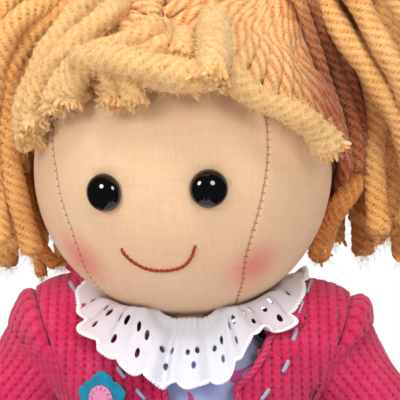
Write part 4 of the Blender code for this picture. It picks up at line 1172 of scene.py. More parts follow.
def knitFinish():
    # Pink wool: deep in the grooves and holes as painted shade, pale on the stitches, with fine fibre
    def pattern(wire):
        ridge = wire.mark("ridge")
        hair = wire.noise(wire.place(), 1500.0, 3.0, 0.65)
        blotch = wire.noise(wire.place(), 50.0, 2.0)
        share = ridge + (hair - 0.5) * 1.0 + (blotch - 0.5) * 0.4
        colour = wire.mix(share.step(-0.05, 0.45), srgb(*knit["deep"]), srgb(*knit["mid"]))
        colour = wire.mix(share.step(0.42, 1.0), colour, srgb(*knit["light"]))
        return {"Base Color": colour, "height": hair}

    return makeMaterial("pinkKnit", pattern, 0.95, 0.12, 0.00030, Sheen_Weight=0.3, Sheen_Roughness=0.5)


def smoothUnion(first, second, reach):
    # The lesser of two distances, rounded over the reach where they are near each other
    share = np.clip(0.5 + 0.5 * (first - second) / reach, 0, 1)
    return first * (1 - share) + second * share - reach * share * (1 - share)


def cardiganShape(x, y, z):
    # Distance-like value, below 0 inside: a smooth union of the let-out oval of the body, wide enough to meet the
    # sleeves, and the shoulder ball, with a second ball where the knit stands up beside the neck
    wide = np.interp(z, knit["wideHeights"], knit["wideHalf"])
    deep = torsoWidth(np.minimum(z, 0.088)) * torsoSize["depthShare"] + knit["letOut"]
    power = torsoSize["power"]
    body = ((np.abs(x) / wide) ** power + (np.abs(y) / deep) ** power) ** (1 / power) - 1
    body = body * deep + 3 * np.maximum(z - torsoSize["heights"][-1], 0)
    across = np.sqrt((y - shoulder["back"]) ** 2 + (z - shoulder["height"]) ** 2)
    ball = np.hypot(np.abs(x) - shoulder["across"], across) - shoulder["radius"] - 0.0012
    aside, forward, height, left, right = knit["neckRise"]
    second = np.sqrt((np.abs(x) - aside) ** 2 + (y - forward) ** 2 + (z - height) ** 2) - np.where(x < 0, left, right)
    return smoothUnion(smoothUnion(second, ball, 0.006), body, 0.010)


def firstCrossing(values, places):
    # Along the last axis, the place where the values first fall below 0, between two samples
    inside = values < 0
    first = np.argmax(inside, -1)[..., None]
    near = np.take_along_axis(values, first, -1)[..., 0]
    before = np.take_along_axis(values, np.maximum(first - 1, 0), -1)[..., 0]
    share = np.clip(before / np.maximum(before - near, 1e-9), 0, 1)
    step = places[1] - places[0]
    return np.where(inside.any(-1), places[np.maximum(first[..., 0] - 1, 0)] + step * share, np.nan)


def bodiceDepth(x, angle):
    # How far the cardigan reaches from the heart line, along rays in the y-z plane at x
    reach = np.linspace(0.070, 0.004, 260)
    y = knit["heart"][0] - reach * np.sin(angle)[..., None]
    z = knit["heart"][1] + reach * np.cos(angle)[..., None]
    found = firstCrossing(cardiganShape((x + 0 * angle)[..., None], y, z), reach)
    return np.where(np.isnan(found), 0.002, found)


def armholeAt(z, sign):
    # The armhole's seam leans outwards as it rises
    x, height, slope = knit["armholeLine"]
    return x + slope * (z - height) - np.where(np.asarray(sign) < 0, knit["leftArmholeIn"], 0)


def leaned(x, angle):
    # Columns of the panel drawn in, so that the outermost follows the armhole's seam
    reached = x
    draw = np.clip((np.abs(x) - 0.022) / (knit["armhole"] - 0.022), 0, 1)
    for _ in range(2):
        z = knit["heart"][1] + bodiceDepth(reached, angle) * np.cos(angle)
        reached = x + np.sign(x) * (armholeAt(z, x) - knit["armhole"]) * draw
    return reached


def crossingAngle(z, height, fine, fallback):
    # The angle at which each column's profile falls past the height, between two of its samples
    i = np.argmin(z > height, 0)
    before, after = (np.take_along_axis(z, np.maximum(i - shift, 0)[None], 0)[0] for shift in (1, 0))
    share = (before - height) / np.where(before > after, before - after, 1)
    found = fine[np.maximum(i - 1, 0), 0] + (fine[1, 0] - fine[0, 0]) * share
    return np.where((i > 0) & (z < height).any(0), found, fallback)[None]


def knitPanel(name, xFrom, xTo, neck, back, material, shift=0.0):
    # A panel over the body and the inner half of each shoulder: columns at even x, rows from the neckline, whose
    # height at each x is given, down to the hem. The knit stands out along the surface's own normals.
    rows, columns = knit["panelRows"], int(abs(xTo - xFrom) / knit["cell"])
    x = np.linspace(xFrom, xTo, columns)[None]
    t = np.linspace(0, 1, rows)[:, None]
    top, bottom = np.interp(x, *neck)[0], knit["bottom"]
    fine = np.linspace(0, np.radians(140), 90)[:, None] + 0 * x
    z = knit["heart"][1] + bodiceDepth(leaned(x, fine), fine) * np.cos(fine)
    angleTop = crossingAngle(z, top, fine, fine[0])
    angleLow = crossingAngle(z, bottom, fine, fine[-24])
    angle = angleTop + (angleLow - angleTop) * t
    placed = leaned(x + 0 * t, angle)
    depth = bodiceDepth(placed, angle)
    sign = 1 if back else -1
    grid = np.stack([placed, knit["heart"][0] + sign * depth * np.sin(angle), knit["heart"][1] + depth * np.cos(angle)], -1)
    along = np.concatenate([np.zeros((1, columns)), np.cumsum(np.linalg.norm(np.diff(grid, axis=0), axis=-1), 0)], 0)
    along = along - along[-1:]
    flip = (xTo > xFrom) != back
    normal = cross(grid, False) * (-1 if flip else 1)
    height, ridge = knitRelief((placed + shift) / knit["rib"], along / knit["row"])
    edgeFade = np.minimum(np.minimum(t * rows / 5, (1 - t) * rows / 5), 1.0)
    sideFade = np.minimum(np.minimum(np.abs(x - xFrom), np.abs(x - xTo)) / 0.0015, 1.0)
    swell = knit["relief"] * (height * (0.35 + 0.65 * np.sqrt(np.clip(edgeFade * sideFade, 0, 1))))
    part = {"grid": grid + normal * swell[..., None], "flip": flip, "marks": {"ridge": ridge}}
    replaced = name.replace("Front", "_front").replace("Back", "_back")
    addWall(makePiece(name, [part], material, "torso", (replaced,)), knit["wall"])


def sidePanel(sign):
    # Under each arm, from the front's edge round to the back's: rows from the armpit to the hem, and along each bearing
    # from the body's middle the place where the cardigan's shape begins
    middle = knit["heart"][0]
    z = np.linspace(knit["armpit"], knit["bottom"], 64)[:, None]
    x = armholeAt(z, sign)
    reach = np.linspace(0.070, 0.0, 240)
    ahead, behind = (
        np.nan_to_num(firstCrossing(cardiganShape((sign * x)[..., None], middle + way * reach, z[..., None]), reach))
        for way in (-1, 1)
    )
    low = np.arctan2(x, ahead) - knit["sideLap"]
    high = np.pi - np.arctan2(x, behind) + knit["sideLap"]
    turn = low + (high - low) * np.linspace(0, 1, 90)
    sine, cosine = np.sin(turn), np.cos(turn)
    reach = np.linspace(0.090, 0.020, 280)
    shape = cardiganShape(sign * reach * sine[..., None], middle - reach * cosine[..., None], z[..., None])
    radius = firstCrossing(shape, reach)
    height, ridge = knitRelief(radius * turn / knit["rib"], z / knit["row"] + 0 * turn)
    radius = radius + knit["relief"] * height * 0.9 - 0.0005
    grid = np.stack([sign * radius * sine, middle - radius * cosine, z + 0 * turn], -1)
    return {"grid": grid, "flip": sign > 0, "marks": {"ridge": ridge}}


def edgeRoll(line):
    # The worked edge: a thick yarn laid along the panel's border
    look = {"spacing": 0.0007, "around": 22, "plies": 3, "pitch": 0.0085, "groove": 0.22, "sway": 0.03}
    roll = yarn(line, lambda points: points - np.array((0, 0, 0.05)), 0.0012, look, 0.0, (True, True))
    roll.pop("uv")
    return roll


def neckLine(points, rising):
    # A neckline on the front as x and z, both rising or, seen from the other side, falling
    x, _, z = fromPicture([(*point, knit["frontDepth"] * 1000) for point in points]).T
    order = np.argsort(x)
    way = 1 if rising else -1
    return x[order], np.maximum.accumulate(z[order][::way])[::way]


def makeCardigan():
    print("cardigan")
    material = knitFinish()
    left, right = neckLine(knit["neckLeft"], False), neckLine(knit["neckRight"], True)
    hole = knit["armhole"]
    knitPanel("cardiganFront_left", -hole, left[0].max(), left, False, material)
    knitPanel("cardiganFront_right", right[0].min(), hole, right, False, material)
    across, heights = np.array(knit["backAcross"]), np.array(knit["backHeights"])
    neck = np.concatenate([-across[:0:-1], across]), np.concatenate([heights[:0:-1], heights])
    knitPanel("cardiganBack", -hole, hole, neck, True, material, 0.0023)
    lines = [onPicture(np.array(marks, float), 0.0006) for marks in (knit["neckLeft"], knit["neckRight"])]
    parts = [edgeRoll(line[line[:, 2] > knit["bottom"] - 0.001]) for line in lines]
    makePiece("cardiganEdge", parts, material, "torso")
    panels = makePiece("cardiganSides", [sidePanel(-1), sidePanel(1)], material, "torso")
    addWall(panels, knit["sideWall"])
    return material


def onPicture(points, lift):
    # Places on the cardigan's front that the picture shows at these points, lifted off it a little
    place = np.array(studio["cameraPlace"])
    ray = np.stack(pictureRay(*points.T), -1)
    reach = np.linspace(0.640, 0.720, 400)
    track = place + ray[:, None] * (reach / ray[:, 1:2])[..., None]
    found = firstCrossing(cardiganShape(*np.moveaxis(track, -1, 0)), reach)
    found = np.where(np.isnan(found), 0.70, found)
    spot = place + ray * (found / ray[:, 1])[:, None]
    return spot + unit(spot - stitches["heart"]) * (lift + knit["relief"] * 0.7)


sleeve = {
    "out": {"left": 0.0014, "right": 0.0040},
    # Where the tube leaves the shoulder ball, as a share of its radius, and the distance and radius along the arm
    "leave": 0.44,
    "reach": (0.0360, 0.0600),
    "half": (0.0172, 0.0160),
    "ribs": 28,
    "columns": 232,
    "cuffInner": 0.0130,
    "cuffWall": 0.0022,
    "cuffTop": 0.0603,
    "cuffLength": 0.0090,
    "cuffRibs": 24,
}


def armFrame(sign):
    # The arm's axis, its front and outer directions, and the shoulder ball's middle
    splay = np.radians(shoulder["splay"])
    axis = np.array((sign * np.sin(splay), 0, -np.cos(splay)))
    front = np.array((0.0, -1.0, 0.0))
    centre = np.array((sign * shoulder["across"], shoulder["back"], shoulder["height"]))
    return axis, front, np.cross(axis, front), centre


def ringAbout(angle, front, across):
    return np.cos(angle)[..., None] * front + np.sin(angle)[..., None] * across


def makeSleeve(side, sign, material):
    # Rows from the pole of the shoulder ball down the arm, columns round it. Inside the armhole the ball is drawn in,
    # so that it turns under the panels; outside it carries the sleeve's ribs.
    axis, front, across, centre = armFrame(sign)
    radius, share = shoulder["radius"], sleeve["leave"]
    leave, end = radius * share, sleeve["reach"][-1]
    turns = np.linspace(0.25, np.pi / 2 + np.arcsin(share), 84)
    reach = np.linspace(leave, end, 124)[1:]
    half = np.interp(reach, (leave, *sleeve["reach"]), (np.sqrt(radius**2 - leave**2), *sleeve["half"]))
    profile = np.concatenate([np.stack([radius * np.sin(turns), -radius * np.cos(turns)], 1), np.stack([half, reach], 1)])
    angle = turnsOf(sleeve["columns"])
    middle = centre + profile[:, None, 1:2] * axis
    grid = profile[:, None, :1] * ringAbout(angle, front, across) + middle
    along = np.concatenate([[0], np.cumsum(np.linalg.norm(np.diff(profile, axis=0), axis=1))])[:, None]
    height, ridge = knitRelief(angle * sleeve["ribs"] / (2 * np.pi) + 0 * along, along / knit["row"] + 0 * angle)
    sag = 0.0011 * np.sin(along * 210 + 1.4 * np.cos(angle * 2 + sign)) * blendStep(0.028, 0.055, along)
    sag = sag * (0.6 + 0.4 * np.cos(angle - 0.6))
    outside = grid[..., 0] * sign - armholeAt(grid[..., 2], sign)
    shoulderRows = profile[:, 1:2] < leave
    hidden = (1 - blendStep(-0.0006, 0.0022, outside)) * np.where(shoulderRows, 1.0, 0.35)
    normal = cross(grid)
    if (normal * (grid - middle)).sum() < 0:
        normal = -normal
    puff = 0.0016 * bell(outside - 0.0045, 0.0035) * shoulderRows
    aside = blendStep(0.30, 1.0, normal[..., 0] * sign) * np.exp(-((along / 0.046) ** 4))
    swell = knit["relief"] * (0.2 + 0.8 * height * blendStep(0.0, 0.012, along)) - 0.0014
    swell = swell + sag + puff - 0.0030 * hidden + 0.0018 * (1 - blendStep(0.030, 0.045, along))
    grid = grid + normal * (swell + sleeve["out"][side] * aside)[..., None]
    inner = grid[-1:] + (centre + axis * (end - 0.0005) - grid[-1:]) * 0.18
    # The closing row inside the sleeve takes the deepest colour: painted shade
    marks = {"ridge": np.concatenate([ridge, ridge[-1:] * 0])}
    part = tube(np.concatenate([grid, inner]), normal, slice(None, -1), ends=(True, False), marks=marks)
    makePiece(f"sleeveKnit_{side}", [part], material, f"arm_{side}", (f"sleeve_{side}",))


def makeCuff(side, sign, material):
    # A ribbed ring whose section is a rounded box, |x|^4 and |z|^6.7 of a circle's, closed on its first row
    axis, front, across, centre = armFrame(sign)
    wall, length = sleeve["cuffWall"], sleeve["cuffLength"]
    section = turnsOf(40)[0]
    wide = np.sign(np.cos(section)) * np.abs(np.cos(section)) ** 0.5
    tall = np.sign(np.sin(section)) * np.abs(np.sin(section)) ** 0.3
    angle = turnsOf(180)[0]
    ribs = np.abs(np.cos(angle * sleeve["cuffRibs"] / 2))[None] ** 0.6
    bars = np.abs(np.cos(np.pi * tall * 1.6))[:, None]
    outer = (wide > 0)[:, None] * (0.0007 * ribs + 0.00025 * bars * ribs)
    r = sleeve["cuffInner"] + wall / 2 * (1 + wide[:, None]) + outer
    h = (sleeve["cuffTop"] + length / 2 * (1 + tall[:, None])) + 0 * r
    grid = centre + r[..., None] * ringAbout(angle[None], front, across) + h[..., None] * axis
    grid = np.concatenate([grid, grid[:1]])
    # The cuff's inner face takes a low mark, a darker colour: painted shade
    ridge = np.where(wide[:, None] > 0, ribs * (0.55 + 0.45 * bars), 0.3)
    away = grid - centre - axis * (sleeve["cuffTop"] + length / 2)
    outward = unit(away - (away @ axis)[..., None] * axis) * np.append(wide, wide[0])[:, None, None]
    part = tube(grid, outward, marks={"ridge": np.concatenate([ridge, np.full((1, 180), 0.5)])})
    cuff = makePiece(f"cuffKnit_{side}", [part], material, f"arm_{side}", (f"sleeve_cuff_{side}",))
    addWeld(cuff)


arm = {
    # Radius and distance along the arm, through wrist and hand
    "profile": (
        (0.0120, 0.004), (0.0122, 0.030), (0.0118, 0.058), (0.0103, 0.0665), (0.0096, 0.0715), (0.0111, 0.0772),
        (0.0118, 0.0830), (0.0112, 0.0880), (0.0085, 0.0928), (0.0052, 0.0951), (0.0018, 0.0959),
    ),
    "hand": (0.0715, 0.083),
    "flatter": 0.05,
    "seamDepth": 0.0004,
    "pucker": 0.00016,
    "stitch": 0.003,
}


def makeArm(side, sign, knitMaterial, skinMaterial):
    # The stuffed arm: a turned profile through wrist and hand, a little flattened, with a seam along its edge
    print("arm", side)
    makeSleeve(side, sign, knitMaterial)
    makeCuff(side, sign, knitMaterial)
    axis, front, across, centre = armFrame(sign)
    profile, _ = throughKnots(np.array([(r, h, 0) for r, h in arm["profile"]]), 0.0009)
    angle = np.linspace(0, 2 * np.pi, 97)[None, :]
    r, h = profile[:, :1], profile[:, 1:2]
    seam = np.minimum(np.abs(np.mod(angle, np.pi) - np.pi / 2), 1.0) * r
    thick = r * (1 - arm["flatter"] * np.cos(2 * angle) * blendStep(*arm["hand"], h))
    thick = thick - arm["seamDepth"] * bell(seam, 0.0006)
    thick = (thick - arm["pucker"] * np.sin(h * 2 * np.pi / arm["stitch"]) * bell(seam, 0.002))[:, :-1]
    ring = ringAbout(angle[:, :-1], front, across)
    grid = centre + thick[..., None] * ring + (h + 0 * thick)[..., None] * axis
    uv = np.stack(np.broadcast_arrays(angle * 0.0118, h), -1)
    part = tube(grid, ring, ends=(True, True), uv={"cloth": uv})
    replaced = (f"arm_cover_{side}", f"arm_filling_{side}")
    stuffed = makePiece(f"armCover_{side}", [part], skinMaterial, f"arm_{side}", replaced)


collar = {
    # The frill's edge in front, from the doll's right to its left: picture point and depth
    "edge": (
        (306, 268, 2), (305, 290, -7), (297, 310, -17), (291, 324, -22), (278, 332, -26), (264, 325, -26), (254, 336, -30),
        (245, 348, -33), (233, 370, -39), (222, 381, -42), (200, 385, -44), (181, 387, -45), (162, 379, -45), (145, 379, -43),
        (127, 368, -40), (112, 359, -36), (97, 345, -32), (82, 330, -26), (77, 308, -17), (87, 284, -3),
    ),
    # Behind, places given
    "back": (
        (-0.0360, 0.0270, 0.1010), (-0.0200, 0.0390, 0.0960), (0.0, 0.0420, 0.0940), (0.0200, 0.0390, 0.0960),
        (0.0370, 0.0270, 0.1015),
    ),
    "bandRadius": 0.0173,
    "seat": 0.0893,
    "headClear": 0.0622,
    "hug": 0.0612,
    "overKnit": 0.0032,
    "scallop": 0.0140,
    "scallopDepth": 0.0026,
    "tooth": 0.0010,
    "toothRadius": 0.0008,
    "columns": 660,
    "rows": 60,
    "white": (226, 226, 233),
    # Deep folds: share of the way round, depth and width
    "folds": (
        (0.325, 0.0050, 2.4), (0.405, 0.0016, 2.6), (0.475, 0.0026, 2.2), (0.535, 0.0030, 2.6), (0.575, 0.0018, 2.2),
        (0.62, 0.0016, 2.4),
    ),
    # Eyelets of each scallop: place along it and above the edge, and radius
    "eyelets": ((-0.0026, 0.0118, 0.00135), (0.0024, 0.0116, 0.00112), (-0.0003, 0.0070, 0.00112)),
    "flat": (0.262, 0.031),
    "wall": 0.0006,
}


def closedCurve(knots, count):
    # A smooth closed curve through the knots, at even steps of its own length
    ring = np.concatenate([knots[-3:], knots, knots[:4]])
    line, length = throughKnots(ring, 0.0004)
    first = np.argmin(np.linalg.norm(line - knots[0], axis=1)[: len(line) // 2])
    tail = len(line) // 2
    last = tail + np.argmin(np.linalg.norm(line[tail:] - knots[0], axis=1))
    line, length = line[first : last + 1], length[first : last + 1] - length[first]
    even = np.linspace(0, length[-1], count + 1)[:-1]
    return np.stack([np.interp(even, length, line[:, k]) for k in range(3)], 1), length[-1]


def collarEdge(count):
    # The frill's outer edge, the front from the picture and the back from given places, and its start on the band
    line, length = closedCurve(np.concatenate([fromPicture(collar["edge"]), collar["back"]]), count)
    turn = np.arctan2(line[:, 0], -line[:, 1])
    band = collar["bandRadius"]
    start = np.stack([band * np.sin(turn), -band * np.cos(turn), 0 * turn + collar["seat"]], 1)
    return line, start, length


def collarGrid(count, shares):
    # Each column runs from the band to the edge: straight outwards seen from above, and in height by t to a power.
    # A low roll under the chin, folds that grow with t, and scallops that lengthen the columns between notches.
    line, start, length = collarEdge(count)
    s = np.linspace(0, 1, count + 1)[None, :-1]
    phase = s * round(length / collar["scallop"])
    lobe = np.abs(np.sin(np.pi * phase)) ** 0.8
    reach = np.linalg.norm(line - start, axis=1)[None]
    stretch = 1 + collar["scallopDepth"] / reach * (lobe - 0.6)
    t = shares[:, None]
    grow = t * (1 + (stretch - 1) * t**3)
    low = start[None, :, 2]
    fall = line[None, :, 2] - low
    flat = start[None] + (line - start)[None] * grow[..., None]
    height = low + fall * grow ** np.where(fall > 0, 1.3, 1.7)

    # Where the edge is above the band, the cloth follows the ball of the head and lies against it
    under = lambda x, y: 1 - np.sqrt(1 - np.clip(np.hypot(x, y) / collar["headClear"], 0, 0.97) ** 2)
    first, last = (under(*ends[:, :2].T)[None] for ends in (start, line))
    share = (under(flat[..., 0], flat[..., 1]) - first) / (last - first)
    rising = blendStep(-0.004, 0.006, fall)
    height = height * (1 - rising) + (low + fall * share) * rising
    beside = np.hypot(flat[..., 0] - headCentre[0], flat[..., 1] - headCentre[1])
    hug = headCentre[2] - np.sqrt(np.maximum(collar["hug"] ** 2 - beside**2, 1e-6))
    side = blendStep(0.05, 0.36, (line[:, 0] ** 2 / (line[:, 0] ** 2 + line[:, 1] ** 2))[None])
    keep = side * blendStep(0.0, 0.16, t) * (1 - blendStep(0.36 + 0.20 * rising, 0.86 + 0.14 * rising, t))
    height = height + np.maximum(hug - height, 0) * keep
    chin = np.clip(-unit(line[:, :2])[:, 1], 0, 1)[None]
    height = height + 0.0025 * chin * bell(t - 0.16, 0.12)

    grid = np.stack([flat[..., 0], flat[..., 1], height], -1)
    out = unit(np.concatenate([(line - start)[:, :2], 0.7 * np.abs(fall[0])[:, None] + 0.006], 1))[None]
    wave = np.zeros_like(grow)
    for place, depth, width in collar["folds"]:
        wave = wave - depth * bell(s - place, width / 300)
    wave = wave + 0.0009 * np.cos(2 * np.pi * s * 17 + 1.0) + 0.0006 * np.cos(2 * np.pi * s * 29)
    wave = wave * (t**1.1) + 0.00035 * np.cos(2 * np.pi * s * 70) * np.clip(1 - t * 2.2, 0, 1)
    grid = grid + out * wave[..., None]

    # It lies on the cardigan, beside the opening
    drop = np.linspace(0.118, 0.060, 120)
    knitted = firstCrossing(cardiganShape(grid[..., :1], grid[..., 1:2], drop), drop) + collar["overKnit"]
    knitted = np.where(np.isnan(knitted) | (np.abs(grid[..., 0]) < 0.020), 0, knitted)
    grid[..., 2] = np.maximum(grid[..., 2], knitted)
    cut = (phase - np.floor(phase)) * collar["scallop"]
    below = (1 - t) * collar["flat"][1] + collar["scallopDepth"] * (lobe - 0.6) * t**3
    return grid, cut + 0 * t, below, s + 0 * t, length


def laceFinish():
    # White cotton: a plain weave, groups of three stitched eyelets, and painted light showing through from beneath,
    # rosy on the sides and bluish grey in the middle
    def pattern(wire):
        along, below = wire.uv("cut").parts()[:2]
        height, slubs = weave(wire, "cloth", 0.00042)
        rim = hole = None
        for x, y, radius in collar["eyelets"]:
            away = (((along - 0.0070 - x) * 1000).power(2) + ((below - y) * 1000).power(2)).root()
            one = away.step(radius * 1000 - 0.05, radius * 1000 + 0.05)
            ring = 1 - ((away - radius * 1000 - 0.45) * 2.0).power(2).math("MINIMUM", 1.0)
            hole = one if hole is None else hole * one
            rim = ring if rim is None else rim.math("MAXIMUM", ring)
        # The under mark paints light showing through the cloth: 0 bluish grey, 1 rosy
        under = wire.mark("under")
        colour = wire.mix(under, srgb(206, 210, 226), srgb(226, 192, 202))
        colour = wire.mix(slubs * 0.35 + 0.2, colour, srgb(*collar["white"]))
        colour = wire.mix(rim.math("MAXIMUM", 0.0) * 0.9, colour, srgb(236, 236, 240))
        threads = wire.noise(wire.joined(along * 2600, below * 2600), 1.0, 2.0)
        height = height * 0.5 + rim.math("MAXIMUM", 0.0) * (1.2 + threads)
        return {"Base Color": colour, "Alpha": hole, "height": height}

    return makeMaterial("whiteLace", pattern, 0.85, 0.2, 0.00012, Sheen_Weight=0.15)


def closed(values, more=0.0):
    # Columns with the first one again at the end, one turn on
    return np.concatenate([values, values[:, :1] + more], 1)


def makeCollar():
    print("collar")
    grid, cut, below, s, length = collarGrid(collar["columns"], np.linspace(0, 1, collar["rows"]) ** 0.9)
    wide = np.linalg.norm(grid - grid[:1], axis=-1)
    cloth = np.stack([closed(s * 0.30, 0.30), closed(collar["flat"][1] - below)], -1)
    eyelets = np.stack([closed(cut), closed(below)], -1)
    # Painted show-through light: rosy out on the sides over the knit, bluish grey in the middle and near the band
    under = np.clip((np.abs(grid[..., 0] - 0.003) - 0.012) / 0.014, 0, 1) * np.clip((wide - 0.006) / 0.010, 0, 1)
    under = under * (0.75 + 0.25 * np.cos(s * 40))
    part = tube(grid, (0, 0, 1), uv={"cloth": cloth, "cut": eyelets}, marks={"under": under})
    frill = makePiece("collarFrill", [part], laceFinish(), "torso", ("collar_frill", "collar_band"))
    addWall(frill, collar["wall"])

    # Satin stitches over the edge: a bead that swells at every stitch
    count = 2400
    edge = collarGrid(count, np.array((0.0, 0.97, 0.985)))[0]
    ring = turnsOf(8).T
    phase = np.linspace(0, 1, count + 1)[None, :-1] * round(length * 1.12 / collar["tooth"])
    swell = 0.40 + 0.60 * np.abs(np.sin(np.pi * phase)) ** 0.7
    outward = unit(edge[2] - edge[1])
    along = unit(np.roll(edge[2], -1, 0) - np.roll(edge[2], 1, 0))
    size = collar["toothRadius"] * swell
    bead = edge[2] + (1.5 * size * np.cos(ring))[..., None] * outward
    bead = bead + (0.8 * size * np.sin(ring))[..., None] * np.cross(along, outward)
    bead = np.concatenate([bead, bead[:1]])
    # The swell mark paints the thread darker between stitches: painted shade
    marks = {"ridge": np.concatenate([swell + 0 * ring, swell])}
    part = tube(bead, bead[:-1] - bead[:-1].mean(0), slice(None, -1), marks=marks)
    thread = threadFinish("laceStitch", (250, 250, 250), (205, 208, 216), 1.0)
    stitch = makePiece("collarEdge", [part], thread, "torso")
    addWeld(stitch)


flower = {
    "place": (-0.0312, -0.0272, 0.0602),
    "way": (-0.48, -0.88, 0.0),
    "surface": 0.0036,
    "petals": 5,
    "lobeAway": 0.0078,
    "lobeSide": 17.0,
    "lobeRadius": 0.0026,
    "thick": 0.0014,
    "disc": 0.0050,
    "discThick": 0.0008,
    "heart": 0.0030,
    "outerIn": 0.0010,
    "stitches": 14,
    # Each stitch's points: distance from the middle and lift
    "stitch": ((0.0036, 0.0), (0.0044, 0.0002), (0.0051, -0.0001), (0.0056, -0.0010)),
}


def plate(outline, frame, thick, rings=7, rounding=0.45):
    # A flat piece of felt from its outline's radius at even turns: top and rounded side in one grid of rings, closed
    # on the middle. frame is its centre and its three directions.
    centre, right, up, out = frame
    column = lambda *values: np.array(values)[:, None]
    turns = turnsOf(len(outline))
    inward = np.linspace(0, 1, rings)[:, None]
    top = np.concatenate([inward**0.8, np.ones((4, 1)), np.linspace(0.98, 0.0, 5)[:, None]])
    lift = np.concatenate([np.ones((rings, 1)), column(0.8, 0.5, 0.2), np.zeros((6, 1))]) * thick
    draw = np.concatenate([0 * inward, column(0.6, 1.0, 0.6), np.zeros((6, 1))]) * thick * rounding
    radius = np.maximum(top * outline[None] + draw, 0.00002)
    grid = centre + radius[..., None] * ringAbout(turns, right, up) + lift[..., None] * out
    return {"grid": grid, "around": True, "ends": (True, True)}


def feltFinish(name, colour, shade):
    # Felt: short crossing fibres, paler where they stand up as painted light, with patches of the felt's own tone
    def pattern(wire):
        fibre = wire.noise(wire.place(), 2200.0, 4.0, 0.7)
        patch = wire.noise(wire.place(), 260.0, 3.0)
        share = (fibre * 0.7 + patch * 0.3).step(0.3, 0.68)
        return {"Base Color": wire.mix(share, srgb(*shade), srgb(*colour)), "height": fibre}

    return makeMaterial(name, pattern, 0.95, 0.15, 0.00018, Sheen_Weight=0.25, Sheen_Roughness=0.5)


def printFinish():
    # Cotton print of plain free shapes: wavy pink bands, round spots and thin dark strokes on a blue ground
    def pattern(wire):
        height, slubs = weave(wire, "cloth", 0.00040)
        where = wire.uv("cloth")
        ground = wire.mix(slubs + 0.5, srgb(172, 186, 222), srgb(192, 206, 238))
        band = wire.noise(where, 62.0, 0.0)
        stroke = wire.noise(where.vector("ADD", (0.31, 0.17, 0.0)), 48.0, 0.0)
        sockets = {"Vector": where, "Scale": 58.0, "Randomness": 0.9}
        spot = wire.add("ShaderNodeTexVoronoi", {"feature": "F1"}, sockets)
        colour = wire.mix(1 - (band - 0.56).size().step(0.016, 0.022), ground, srgb(222, 92, 160))
        colour = wire.mix(1 - spot.step(0.17, 0.20), colour, srgb(226, 74, 146))
        colour = wire.mix((1 - (stroke - 0.47).size().step(0.004, 0.009)) * 0.9, colour, srgb(50, 50, 74))
        return {"Base Color": colour, "height": height}

    return makeMaterial("lilacPrint", pattern, 0.8, 0.25, 0.00006, Sheen_Weight=0.15)


def petalOutline():
    # Petals of three small round lobes each: the furthest reach of all the lobe circles at each turn
    turns = turnsOf(360)[0]
    outline = np.full(turns.shape, flower["heart"])
    for k in range(flower["petals"]):
        for side in (-1, 0, 1):
            aim = np.pi / 2 + 2 * np.pi * k / flower["petals"] + side * np.radians(flower["lobeSide"])
            away = flower["lobeAway"] - (flower["outerIn"] if side else 0.0)
            turn = np.mod(turns - aim + np.pi, 2 * np.pi) - np.pi
            inner = flower["lobeRadius"] ** 2 - (away * np.sin(turn)) ** 2
            reach = away * np.cos(turn) + np.sqrt(np.maximum(inner, 0))
            outline = np.maximum(outline, np.where((inner > 0) & (np.abs(turn) < np.pi / 2), reach, 0))
    return outline


def discFinish():
    # Pale pink cotton with small round spots
    def pattern(wire):
        height, slubs = weave(wire, "cloth", 0.00040)
        sockets = {"Vector": wire.uv("cloth"), "Scale": 520.0, "Randomness": 1.0}
        mark = wire.add("ShaderNodeTexVoronoi", {"feature": "F1"}, sockets)
        colour = wire.mix(slubs, srgb(226, 140, 178), srgb(244, 178, 206))
        return {"Base Color": wire.mix(1 - mark.step(0.16, 0.22), colour, srgb(206, 48, 96)), "height": height}

    return makeMaterial("pinkPrint", pattern, 0.85, 0.2, 0.00006)


def makeFlower():
    print("flower")
    out = unit(np.array(flower["way"]))
    up = np.array((0.0, 0.0, 1.0))
    right = np.cross(up, out)
    centre = np.array(flower["place"]) + out * flower["surface"]
    petals = plate(petalOutline(), (centre, right, up, out), flower["thick"])
    teal = feltFinish("tealFelt", (24, 152, 178), (6, 104, 134))
    makePiece("flowerFelt", [petals], teal, "torso", ("flower_petals",))
    onFelt = centre + out * flower["thick"]
    disc = plate(np.full(72, flower["disc"]), (onFelt, right, up, out), flower["discThick"])
    local = disc["grid"] - centre
    disc["uv"] = {"cloth": closed(np.stack([local @ right, local @ up], -1))}
    makePiece("flowerDisc", [disc], discFinish(), "torso", ("flower_centre",))

    # Small stitches that hold the disc down, from its rim onto the felt
    look = {"spacing": 0.0003, "around": 8, "plies": 2, "pitch": 0.0016, "groove": 0.2, "sway": 0.02}
    parts = []
    for k in range(flower["stitches"]):
        turn = 2 * np.pi * (k + 0.3) / flower["stitches"]
        way = np.cos(turn) * right + np.sin(turn) * up
        knots = [onFelt + out * (0.0009 + lift) + way * away for away, lift in flower["stitch"]]
        parts.append(yarn(knots, lambda line: np.broadcast_to(out, line.shape), 0.00024, look, k, (True, True)))
    thread = threadFinish("pinkThread", (236, 150, 186), (180, 60, 110), 1.2)
    makePiece("flowerStitches", parts, thread, "torso")


stitches = {
    "half": 6.4,
    "lifts": (0.0006, 0.0010, 0.0011, 0.0011, 0.0010, 0.0006),
    "radius": 0.00085,
    "heart": (0, 0.004, 0.06),
}


